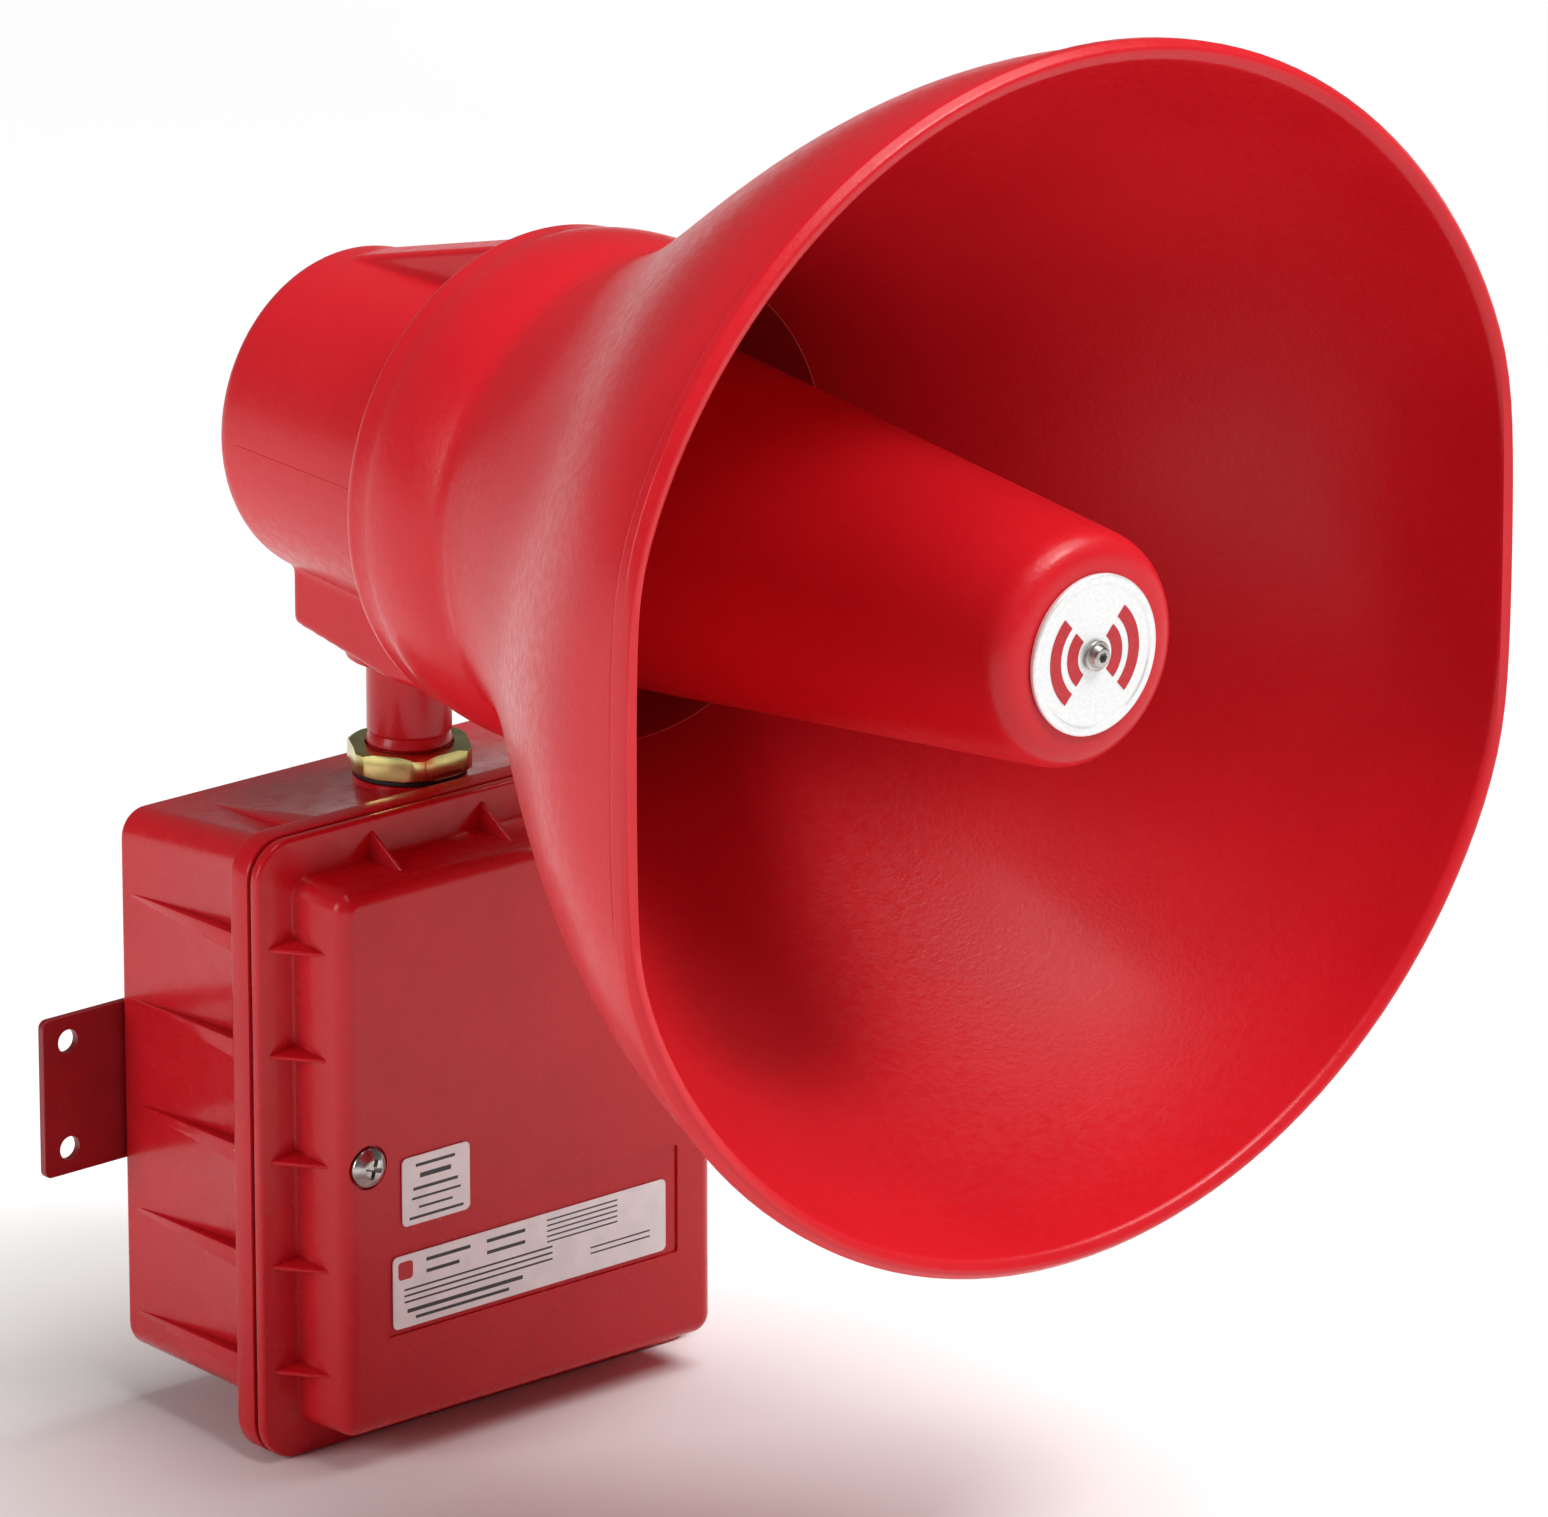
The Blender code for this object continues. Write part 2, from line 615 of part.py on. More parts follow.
def build_conduit_plug(zinc, screw_steel):
    top = -BOX_BOTTOM + SPOT_FACE_DEPTH - GAP
    outline = [
        (-PLUG_HEAD_HEIGHT, 0),
        (-PLUG_HEAD_HEIGHT, PLUG_FLANGE - 1),
        (-PLUG_HEAD_HEIGHT + 1, PLUG_FLANGE),
        (0, PLUG_FLANGE),
        (0, CONDUIT_RADIUS),
        (PLUG_LENGTH, CONDUIT_RADIUS),
        (PLUG_LENGTH, 0),
    ]
    plug = turned("conduit_plug", outline, zinc, UP, COARSE, at=(0, -STEM_SETBACK, top))
    half = PLUG_SLOT / 2
    slot = block_mesh((-half, half), (-STEM_SETBACK - PLUG_FLANGE - 1, -STEM_SETBACK + PLUG_FLANGE + 1),
                      (top - PLUG_HEAD_HEIGHT - 1, top - PLUG_HEAD_HEIGHT / 2))
    combine(plug, place("plug_slot_tool", slot, None), "DIFFERENCE")
    inner = CONDUIT_RADIUS + GAP
    height = INNER_NUT_HEIGHT
    outline = [(0, inner), (0, PLUG_FLANGE), (height, PLUG_FLANGE), (height, inner)]
    turned("plug_nut", outline, screw_steel, UP, COARSE,
           at=(0, -STEM_SETBACK, -BOX_BOTTOM + BOX_WALL + GAP))


# ---------------------------------------------------------------- cover

def pan_outline(y, inset, radius):
    """The raised pan of the cover, narrower towards its front by its draft."""
    ahead = (COVER_FLANGE_Y - y) / (COVER_FLANGE_Y - COVER_FRONT_Y)
    shrink = PAN_DRAFT * max(0.0, ahead) + inset
    return upright_loop(
        y,
        FLANGE_HALF - PAN_SIDE - shrink,
        FLANGE_BOTTOM_Z + PAN_DOWN + shrink,
        FLANGE_TOP_Z - PAN_UP - shrink,
        max(radius, 0.4),
    )


def gusset(bm, foot, root, tip, spread):
    """A rib in the corner of flange and pan: thick in the corner, thin at both ends."""
    points = []
    for point, width in ((foot, GUSSET_TIP), (root, GUSSET_ROOT), (tip, GUSSET_TIP)):
        points += [Vector(point) + spread * half for half in (-width / 2, width / 2)]
    sunk = Vector(root) + Vector((0, COVER_FLANGE * 0.5, 0))
    points += [sunk + spread * half for half in (-GUSSET_ROOT / 2, GUSSET_ROOT / 2)]
    sunk = Vector(foot) + Vector((0, COVER_FLANGE * 0.5, 0))
    points += [sunk + spread * half for half in (-GUSSET_TIP / 2, GUSSET_TIP / 2)]
    hull(bm, points)


def cover_gussets():
    bm = bmesh.new()
    tip_y = COVER_FLANGE_Y - GUSSET_REACH
    inside = COVER_WALL * 0.5
    first = RIB_CENTRE_Z - RIB_PITCH * (RIB_COUNT - 1) / 2
    for side in (-1, 1):
        root_x = side * (FLANGE_HALF - PAN_SIDE - inside)
        foot_x = side * (FLANGE_HALF - GUSSET_INSET)
        tip_x = side * (FLANGE_HALF - PAN_SIDE - PAN_DRAFT - 0.1)
        for index in range(RIB_COUNT):
            z = first + index * RIB_PITCH
            gusset(bm, (foot_x, COVER_FLANGE_Y, z), (root_x, COVER_FLANGE_Y, z), (tip_x, tip_y, z), UP)
    across = Vector((1, 0, 0))
    first = -TOP_RIB_PITCH * (TOP_RIB_COUNT - 1) / 2
    for side, edge, pan in ((1, FLANGE_TOP_Z, PAN_UP), (-1, FLANGE_BOTTOM_Z, PAN_DOWN)):
        root_z = edge - side * (pan + inside)
        foot_z = edge - side * GUSSET_INSET
        tip_z = edge - side * (pan + PAN_DRAFT + 0.1)
        for index in range(TOP_RIB_COUNT):
            x = first + index * TOP_RIB_PITCH
            gusset(bm, (x, COVER_FLANGE_Y, foot_z), (x, COVER_FLANGE_Y, root_z), (x, tip_y, tip_z), across)
    return bm


def build_cover(red, rubber, screw_steel, paper, parent):
    inner = upright_loop(
        COVER_REAR_Y,
        FLANGE_HALF - PAN_SIDE - COVER_WALL,
        FLANGE_BOTTOM_Z + PAN_DOWN + COVER_WALL,
        FLANGE_TOP_Z - PAN_UP - COVER_WALL,
        PAN_CORNER - COVER_WALL + 0.5,
    )
    deep = pan_outline(COVER_FRONT_Y + COVER_WALL, COVER_WALL, PAN_CORNER - COVER_WALL + 0.5)
    fillet = [
        pan_outline(
            COVER_FRONT_Y + PAN_FILLET * (1 - sin(angle)),
            PAN_FILLET * (1 - cos(angle)),
            PAN_CORNER - PAN_FILLET * (1 - cos(angle)),
        )
        for angle in (pi / 2 * step / 4 for step in range(5))
    ]
    loops = [
        deep,
        inner,
        flange_outline(COVER_REAR_Y),
        flange_outline(COVER_FLANGE_Y + FLANGE_EDGE),
        flange_outline(COVER_FLANGE_Y, FLANGE_EDGE),
        pan_outline(COVER_FLANGE_Y, 0, PAN_CORNER),
    ] + fillet
    cover = lofted("enclosure_cover", loops, red, parent)
    combine(cover, place("cover_gussets_tool", cover_gussets(), None), "UNION")

    half_w, half_h = LABEL_RECESS[0] / 2, LABEL_RECESS[1] / 2
    x, z = LABEL_RECESS_CENTRE
    recess = block_mesh((x - half_w, x + half_w), (COVER_FRONT_Y - 1, COVER_FRONT_Y + LABEL_RECESS_DEPTH),
                        (z - half_h, z + half_h))
    for side in (-1, 1):
        hole = COVER_SCREW_SHANK + SCREW_PLAY
        seat = COVER_SCREW_HEAD + SCREW_PLAY * 2
        depth = COVER_SCREW_SINK
        outline = [(-1, 0), (-1, seat), (depth, seat), (depth, hole), (COVER_WALL + 1, hole), (COVER_WALL + 1, 0)]
        turned_mesh(outline, -AHEAD, COARSE, recess, (side * COVER_SCREW_SPACING / 2, COVER_FRONT_Y, COVER_SCREW_Z))
    combine(cover, place("cover_cuts_tool", recess, None), "DIFFERENCE")

    outline = screw_outline(0, COVER_SCREW_HEAD, COVER_SCREW_HEAD_HEIGHT, COVER_SCREW_SHANK,
                            COVER_SCREW_LENGTH - 2)
    for side, word in ((-1, "left"), (1, "right")):
        turned("cover_screw_" + word, outline, screw_steel, AHEAD, COARSE, parent,
               (side * COVER_SCREW_SPACING / 2, SCREW_SEAT_Y, COVER_SCREW_Z))

    for name, size, centre, floor in (
        ("rating_label", RATING_LABEL, RATING_LABEL_CENTRE, COVER_FRONT_Y + LABEL_RECESS_DEPTH),
        ("date_label", DATE_LABEL, DATE_LABEL_CENTRE, COVER_FRONT_Y),
    ):
        half_w, half_h = size[0] / 2, size[1] / 2
        outline = rounded_outline(-half_w, half_w, -half_h, half_h, LABEL_CORNER, 3)
        loops = [[Vector((x, y, z)) for x, z in outline] for y in (0, -LABEL_THICKNESS)]
        lofted(name, loops, paper, parent, (centre[0], floor - GAP, centre[1]))

    outer = flange_outline(BOX_FRONT_Y - GAP, GASKET_INSET)
    clear = BOX_WALL - GASKET_INSET
    inner = box_outline(BOX_FRONT_Y - GAP, clear, BOX_CORNER - clear)
    step = Vector((0, -GASKET_THICKNESS, 0))
    bm = bmesh.new()
    rings = [[bm.verts.new(point + shift) for point in loop]
             for loop, shift in ((outer, Vector()), (outer, step), (inner, step), (inner, Vector()))]
    for low, high in zip(rings, rings[1:] + rings[:1]):
        for i in range(len(low)):
            j = (i + 1) % len(low)
            bm.faces.new((low[i], low[j], high[j], high[i]))
    place("cover_gasket", bm, rubber)


# ---------------------------------------------------------------- board

def build_board(green, screw_steel):
    half = BOARD_WIDTH / 2
    low, high = BOARD_CENTRE_Z - BOARD_HEIGHT / 2, BOARD_CENTRE_Z + BOARD_HEIGHT / 2
    board = place("circuit_board", block_mesh((-half, half), (BOARD_REAR_Y, BOARD_FRONT_Y), (low, high)), green)
    places = [(x, BOARD_REAR_Y, z) for x, z in board_screw_places()]
    holes = cylinders_tool("board_holes_tool", BOARD_SCREW_SHANK + SCREW_PLAY, -1, BOARD_THICKNESS + 1,
                           AHEAD, places)
    combine(board, holes, "DIFFERENCE")
    outline = screw_outline(0, BOARD_SCREW_HEAD, BOARD_SCREW_HEAD_HEIGHT, BOARD_SCREW_SHANK,
                            BOARD_SCREW_LENGTH - GAP)
    for index, (x, z) in enumerate(board_screw_places(), 1):
        turned(f"board_screw_{index}", outline, screw_steel, AHEAD, SMALL, at=(x, COMPONENT_Y, z))


def build_transformer(iron, tape):
    x, z = CORE_CENTRE
    near = BOARD_FRONT_Y - CORE_STANDOFF
    far = near - CORE_STACK
    half_w, half_h = CORE_WIDTH / 2, CORE_HEIGHT / 2
    core = place("transformer_core",
                 block_mesh((x - half_w, x + half_w), (near, far), (z - half_h, z + half_h)), iron)
    windows = bmesh.new()
    window = (CORE_WIDTH - 4 * CORE_LEG) / 2
    for side in (-1, 1):
        inner, outer = side * CORE_LEG, side * (CORE_LEG + window)
        block_mesh(sorted((x + inner, x + outer)), (near + 1, far - 1),
                   (z - half_h + CORE_LEG, z + half_h - CORE_LEG), windows)
    combine(core, place("core_windows_tool", windows, None), "DIFFERENCE")

    middle = (near + far) / 2
    hole_x, hole_y = CORE_LEG + GAP, CORE_STACK / 2 + GAP
    build = window - 2 * GAP
    coil_half = half_h - CORE_LEG - GAP
    bm = bmesh.new()
    rings = []
    for extra, height in ((build, -coil_half), (build, coil_half), (0, coil_half), (0, -coil_half)):
        outline = rounded_outline(-hole_x - extra, hole_x + extra, -hole_y - extra, hole_y + extra,
                                  0.5 + extra * 0.5, 3)
        rings.append([bm.verts.new((x + a, middle + b, z + height)) for a, b in outline])
    for low, high in zip(rings, rings[1:] + rings[:1]):
        for i in range(len(low)):
            j = (i + 1) % len(low)
            bm.faces.new((low[i], low[j], high[j], high[i]))
    place("transformer_coil", bm, tape)


def build_components(black, green, aluminium, screw_steel):
    for name, x, z, radius, length in CAPACITORS:
        outline = [(0, 0), (0, radius), (length - 1, radius), (length, radius - 1),
                   (length, radius - 2), (length - 0.6, radius - 2.6), (length - 0.6, 0)]
        turned(name, outline, aluminium, AHEAD, COARSE, at=(x, COMPONENT_Y, z))

    width, height, depth = TERMINAL_BLOCK
    x, z = TERMINAL_CENTRE
    block = place("terminal_block",
                  block_mesh((x - width / 2, x + width / 2), (COMPONENT_Y, COMPONENT_Y - depth),
                             (z - height / 2, z + height / 2)), green)
    pitch = width / TERMINAL_COUNT
    places = [x - width / 2 + pitch * (index + 0.5) for index in range(TERMINAL_COUNT)]
    wells = cylinders_tool("terminal_wells_tool", TERMINAL_SCREW_RADIUS + SCREW_PLAY, depth * 0.4, depth + 1,
                           AHEAD, [(place_x, COMPONENT_Y, z - height * 0.12) for place_x in places])
    combine(block, wells, "DIFFERENCE")
    entries = bmesh.new()
    half = pitch * 0.3
    for place_x in places:
        block_mesh((place_x - half, place_x + half),
                   (COMPONENT_Y - depth * 0.12, COMPONENT_Y - depth * 0.32),
                   (z, z + height), entries)
    combine(block, place("terminal_entries_tool", entries, None), "DIFFERENCE")
    for index, place_x in enumerate(places, 1):
        start = COMPONENT_Y - depth * 0.4 - GAP
        outline = [(0, 0), (0, TERMINAL_SCREW_RADIUS), (depth * 0.45, TERMINAL_SCREW_RADIUS),
                   (depth * 0.45, TERMINAL_SCREW_RADIUS * 0.5), (depth * 0.35, TERMINAL_SCREW_RADIUS * 0.4),
                   (depth * 0.35, 0)]
        turned(f"terminal_screw_{index}", outline, screw_steel, AHEAD, SMALL,
               at=(place_x, start, z - height * 0.12))

    x, z = POT_CENTRE
    half = POT_BODY / 2
    pot = place("gain_potentiometer",
                block_mesh((x - half, x + half), (COMPONENT_Y, COMPONENT_Y - POT_DEPTH), (z - half, z + half)),
                black)
    shaft = cylinder_tool("pot_shaft_tool", POT_SHAFT_RADIUS, POT_DEPTH / 2, POT_DEPTH + POT_SHAFT_LENGTH,
                          AHEAD, (x, COMPONENT_Y, z), SMALL)
    combine(pot, shaft, "UNION")

    reach = POT_SHAFT_LENGTH + GAP - 1
    base = COMPONENT_Y - POT_DEPTH - 1
    bm = turned_mesh([(0, 0), (0, KNOB_RADIUS), (KNOB_LENGTH, KNOB_RADIUS - 0.8),
                      (KNOB_LENGTH + 2, KNOB_RADIUS - 1.6), (KNOB_LENGTH + 2, 0)], AHEAD, COARSE)
    knob = place("gain_knob", bm, black, at=(x, base, z))
    bore = cylinder_tool("knob_bore_tool", POT_SHAFT_RADIUS + GAP, -1, reach, AHEAD, (x, base, z), SMALL)
    combine(knob, bore, "DIFFERENCE")
    flutes = bmesh.new()
    for step in range(KNOB_FLUTES):
        angle = 2 * pi * step / KNOB_FLUTES
        centre = (x + (KNOB_RADIUS + 0.4) * cos(angle), base, z + (KNOB_RADIUS + 0.4) * sin(angle))
        turned_mesh([(1.5, 0), (1.5, 1.2), (KNOB_LENGTH + 3, 1.2), (KNOB_LENGTH + 3, 0)], AHEAD, 8, flutes, centre)
    combine(knob, place("knob_flutes_tool", flutes, None), "DIFFERENCE")


# ---------------------------------------------------------------- stem

def build_stem(red, zinc, screw_steel, fibre, head):
    low, high = BOX_TOP - PIPE_BELOW, PIPE_TOP_Z
    inner, outer = PIPE_BORE / 2, PIPE_RADIUS
    outline = [(low - HORN_Z, inner), (low - HORN_Z, outer), (high - HORN_Z, outer), (high - HORN_Z, inner)]
    turned("stem_pipe", outline, red, UP, MEDIUM, head)

    hole = PIPE_RADIUS + GAP
    seat = BOX_TOP + GAP
    outline = [(0, hole), (0, STEM_WASHER_RADIUS), (STEM_WASHER_THICKNESS, STEM_WASHER_RADIUS),
               (STEM_WASHER_THICKNESS, hole)]
    turned("stem_washer", outline, fibre, UP, MEDIUM, at=(0, -STEM_SETBACK, seat))

    nut_seat = seat + STEM_WASHER_THICKNESS + GAP
    corner = LOCKNUT_CORNERS / 2
    flat = LOCKNUT_FLATS / 2
    bevel = corner - flat
    top = LOCKNUT_HEIGHT
    outline = [(0, hole), (0, flat), (bevel * 0.6, corner), (top - bevel * 0.6, corner), (top, flat),
               (top, hole + 0.6), (top - 0.6, hole)]
    nut = turned("locknut", outline, zinc, UP, MEDIUM, at=(0, -STEM_SETBACK, nut_seat))
    tip = flat / cos(pi / 6)
    hexagon = [Vector((tip * cos(pi / 3 * step), tip * sin(pi / 3 * step) - STEM_SETBACK, 0))
               for step in range(6)]
    loops = [[point + UP * z for point in hexagon] for z in (nut_seat - 1, nut_seat + top + 1)]
    combine(nut, lofted("locknut_hexagon_tool", loops, None), "INTERSECT")

    inner_top = BOX_TOP - BOX_WALL - GAP
    outline = [(-INNER_NUT_HEIGHT, hole), (-INNER_NUT_HEIGHT, flat - 1), (-INNER_NUT_HEIGHT + 1, flat),
               (0, flat), (0, hole)]
    turned("inner_locknut", outline, screw_steel, UP, COARSE, at=(0, -STEM_SETBACK, inner_top))


def smooth_route(points, steps):
    """Catmull-Rom points through a route's own points."""
    route = []
    padded = [points[0] * 2 - points[1]] + points + [points[-1] * 2 - points[-2]]
    for a, b, c, d in zip(padded, padded[1:], padded[2:], padded[3:]):
        for step in range(steps):
            t = step / steps
            route.append(0.5 * (2 * b + (c - a) * t + (2 * a - 5 * b + 4 * c - d) * t * t
                                + (3 * b - a - 3 * c + d) * t * t * t))
    return route + [points[-1]]


def lead(name, points, material, parent=None, steps=3):
    curve = bpy.data.curves.new(name, "CURVE")
    curve.dimensions = "3D"
    curve.bevel_depth = LEAD_RADIUS * MM
    curve.bevel_resolution = 2
    curve.use_fill_caps = True
    spline = curve.splines.new("POLY")
    route = smooth_route([Vector(point) for point in points], steps)
    spline.points.add(len(route) - 1)
    for spot, point in zip(spline.points, route):
        spot.co = (*(point * MM), 1.0)
    curve.materials.append(material)
    piece = bpy.data.objects.new(name, curve)
    bpy.context.collection.objects.link(piece)
    piece.parent = parent
    return piece


def build_leads(red_wire, black_wire, black, head):
    splice_low = SPLICE_TOP_Z - SPLICE_LENGTH
    outline = [(0, 0), (0, SPLICE_RADIUS), (SPLICE_LENGTH, SPLICE_RADIUS), (SPLICE_LENGTH, 0)]
    turned("lead_splice", outline, black, UP, SMALL, head, (0, 0, splice_low - HORN_Z))
    width, height, depth = TERMINAL_BLOCK
    pitch = width / TERMINAL_COUNT
    entry_y = COMPONENT_Y - depth * 0.22
    block_top = TERMINAL_CENTRE[1] + height / 2
    for side, word, wire, way in ((-1, "red", red_wire, 1), (1, "black", black_wire, 2)):
        x = side * LEAD_SPREAD
        down = -HOUSING_REAR_RADIUS
        route = [
            (x * 3, 0, -MAGNET_RADIUS - 3 * LEAD_RADIUS),
            (x * 2, 0, down + 2),
            (x, 0, down - 6),
            (x, 0, down - 20),
            (x, 0, BOX_TOP - HORN_Z),
            (x, 0, SPLICE_TOP_Z - HORN_Z + GAP),
        ]
        lead("upper_lead_" + word, route, wire, head)
        end_x = TERMINAL_CENTRE[0] - width / 2 + pitch * (way - 0.5)
        route = [
            (x, -STEM_SETBACK, splice_low - GAP),
            (x, -STEM_SETBACK, splice_low - 5),
            ((x + end_x) / 2, (entry_y - STEM_SETBACK) / 2, (splice_low + block_top) / 2),
            (end_x, entry_y, block_top + 4),
            (end_x, entry_y, block_top - height * 0.3),
        ]
        lead("lower_lead_" + word, route, wire)


# ---------------------------------------------------------------- driver housing

def housing_radius(ahead):
    share = (ahead - HOUSING_REAR) / (HOUSING_FRONT - HOUSING_REAR)
    return HOUSING_REAR_RADIUS + (HOUSING_FRONT_RADIUS - HOUSING_REAR_RADIUS) * share


def block_loop(ahead):
    """Section of the block under the housing: flat below, and within the housing's wall above."""
    half = BLOCK_WIDTH / 2
    share = min(1.0, (ahead - BLOCK_REAR) / (BOSS_RADIUS - BLOCK_REAR))
    drop = BLOCK_REAR_DROP + (BLOCK_FRONT_DROP - BLOCK_REAR_DROP) * share
    middle = housing_radius(ahead) - HOUSING_WALL / 2
    steps = 8
    across = [half * (1 - 2 * step / steps) for step in range(steps + 1)]
    loop = [Vector((x, -ahead, -sqrt(middle ** 2 - x ** 2))) for x in across]
    return loop + [Vector((-half, -ahead, -drop)), Vector((half, -ahead, -drop))]


def build_housing(red, screw_steel, head):
    edge = HOUSING_EDGE
    wall = HOUSING_WALL
    collar_rear = HOUSING_FRONT - COLLAR_THICKNESS
    floor = HOUSING_REAR + wall
    outline = [(HOUSING_REAR, 0)]
    outline += arc((HOUSING_REAR + edge, HOUSING_REAR_RADIUS - edge), edge, 180, 90, 4)
    outline += [
        (collar_rear, housing_radius(collar_rear)),
        (collar_rear, COLLAR_RADIUS - 0.6),
        (collar_rear + 0.6, COLLAR_RADIUS),
        (HOUSING_FRONT, COLLAR_RADIUS),
        (HOUSING_FRONT, HOUSING_FRONT_RADIUS - wall),
        (floor + 2, housing_radius(floor + 2) - wall),
        (floor, housing_radius(floor) - wall - 2),
        (floor, 0),
    ]
    housing = turned("driver_housing", outline, red, AHEAD, FINE, head)

    rib_foot = housing_radius(TOP_RIB_START)
    rib = side_plate([
        (TOP_RIB_START, rib_foot - wall / 2), (TOP_RIB_START, rib_foot + 0.2),
        (HOUSING_FRONT, TOP_RIB_HEIGHT), (HOUSING_FRONT, HOUSING_FRONT_RADIUS - wall / 2),
    ], TOP_RIB_WIDTH / 2)
    combine(housing, place("housing_rib_tool", rib, None, head), "UNION")
    block = loft_mesh([block_loop(ahead) for ahead in (BLOCK_REAR, BOSS_RADIUS, collar_rear + 1)])
    combine(housing, place("housing_block_tool", block, None, head), "UNION")
    boss = cylinder_tool("housing_boss_tool", BOSS_RADIUS, -BOSS_DROP, -BLOCK_REAR_DROP + 3, UP, steps=MEDIUM)
    combine(housing, boss, "UNION")

    socket_top = PIPE_TOP_Z - HORN_Z + GAP
    bore = turned("housing_bore_tool", [
        (-BOSS_DROP - 1, 0), (-BOSS_DROP - 1, PIPE_RADIUS + GAP), (socket_top, PIPE_RADIUS + GAP),
        (socket_top, LEAD_HOLE_RADIUS), (-HOUSING_REAR_RADIUS * 0.7, LEAD_HOLE_RADIUS),
        (-HOUSING_REAR_RADIUS * 0.7, 0),
    ], None, UP, COARSE, head)
    combine(housing, bore, "DIFFERENCE")

    set_z = socket_top - SET_SCREW_RADIUS - 1
    holes = bmesh.new()
    hole = SET_SCREW_RADIUS + SCREW_PLAY
    outline = [(-PIPE_RADIUS + 2, 0), (-PIPE_RADIUS + 2, hole), (BLOCK_REAR - 1, hole), (BLOCK_REAR - 1, 0)]
    turned_mesh(outline, AHEAD, SMALL, holes, (0, 0, set_z))
    hole = BELL_SCREW_SHANK + SCREW_PLAY
    outline = [(HOUSING_FRONT + 1, 0), (HOUSING_FRONT + 1, hole), (collar_rear - 1, hole), (collar_rear - 1, 0)]
    for spot in ring_points(BELL_SCREW_COUNT, BELL_SCREW_RING, BELL_SCREW_TURN):
        turned_mesh(outline, AHEAD, SMALL, holes, spot)
    combine(housing, place("housing_holes_tool", holes, None, head), "DIFFERENCE")

    tip = -PIPE_RADIUS - GAP
    back = tip - SET_SCREW_LENGTH
    outline = [(back + 2, 0), (back + 2, SET_SCREW_RADIUS * 0.5), (back, SET_SCREW_RADIUS * 0.55),
               (back, SET_SCREW_RADIUS), (tip - 0.5, SET_SCREW_RADIUS), (tip, SET_SCREW_RADIUS * 0.6), (tip, 0)]
    bm = turned_mesh(outline, AHEAD, SMALL, centre=(0, 0, set_z))
    place("stem_set_screw", bm, screw_steel, head)


# ---------------------------------------------------------------- bell

def bell_screw_length():
    return BELL_PLATE_FRONT + GAP - (HOUSING_FRONT - COLLAR_THICKNESS) + 0.5


def flare_share(ahead):
    return (ahead - CREASE_AHEAD) / (MOUTH_AHEAD - BEAD_WIDTH - CREASE_AHEAD)


def flare_point(share):
    """(ahead, radius, slope) outside the flare: shallow at the crease, steep, then nearly level."""
    length = MOUTH_AHEAD - BEAD_WIDTH - CREASE_AHEAD
    foot = MOUTH_RADIUS - BEAD_HEIGHT
    square = share * share
    cube = square * share
    radius = (2 * cube - 3 * square + 1) * CREASE_RADIUS + (3 * square - 2 * cube) * foot
    radius += length * ((cube - 2 * square + share) * CREASE_SLOPE + (cube - square) * MOUTH_SLOPE)
    slope = 6 * (share - square) * (foot - CREASE_RADIUS) / length
    slope += (3 * square - 4 * share + 1) * CREASE_SLOPE + (3 * square - 2 * share) * MOUTH_SLOPE
    return CREASE_AHEAD + length * share, radius, slope


def flat_sided(point, limit):
    """Push a point of the mouth in to the flat side, with a soft corner."""
    reach = abs(point.x)
    eased = 0.5 * (reach + limit - sqrt((reach - limit) ** 2 + FLAT_BLEND ** 2))
    eased += 0.5 * (sqrt(limit ** 2 + FLAT_BLEND ** 2) - limit)
    point.x = eased if point.x > 0 else -eased


def bell_outline():
    """(ahead, radius) points: the outside from rear to mouth, then the inside back."""
    rounding = SHOULDER_ROUNDING
    outside = [(BELL_REAR, THROAT_SPIGOT_RADIUS + GAP)]
    outside += arc((BELL_REAR + rounding, SHOULDER_RADIUS - rounding), rounding, 180, 90, 4)
    drum_start = BELL_REAR + rounding
    for share in (0.3, 0.65):
        swell = 4 * DRUM_BULGE * share * (1 - share)
        straight = SHOULDER_RADIUS + (CREASE_RADIUS - SHOULDER_RADIUS) * share
        outside.append((drum_start + (CREASE_AHEAD - drum_start) * share, straight + swell))
    flare = [flare_point(step / FLARE_STEPS) for step in range(FLARE_STEPS + 1)]
    outside += [(ahead, radius) for ahead, radius, slope in flare]
    bead_rear = MOUTH_AHEAD - BEAD_WIDTH
    nose = BELL_WALL * 0.6
    outside += [(bead_rear + 0.8, MOUTH_RADIUS - 0.5), (bead_rear + 2.4, MOUTH_RADIUS)]
    outside += [(MOUTH_AHEAD - nose, MOUTH_RADIUS - 0.2), (MOUTH_AHEAD - 0.4, MOUTH_RADIUS - 1.3),
                (MOUTH_AHEAD, MOUTH_RADIUS - 2.4)]
    inside = [(MOUTH_AHEAD - 1.2, MOUTH_RADIUS - BEAD_HEIGHT - nose)]
    for ahead, radius, slope in reversed(flare):
        lean = sqrt(1 + slope * slope)
        inside.append((ahead + BELL_WALL * slope / lean, radius - BELL_WALL / lean))
    inside += [(BELL_PLATE_FRONT + 4, SHOULDER_RADIUS - BELL_WALL * 0.9)]
    inside += [(BELL_PLATE_FRONT, SHOULDER_RADIUS - BELL_WALL - 4), (BELL_PLATE_FRONT, THROAT_SPIGOT_RADIUS + GAP)]
    return outside, inside


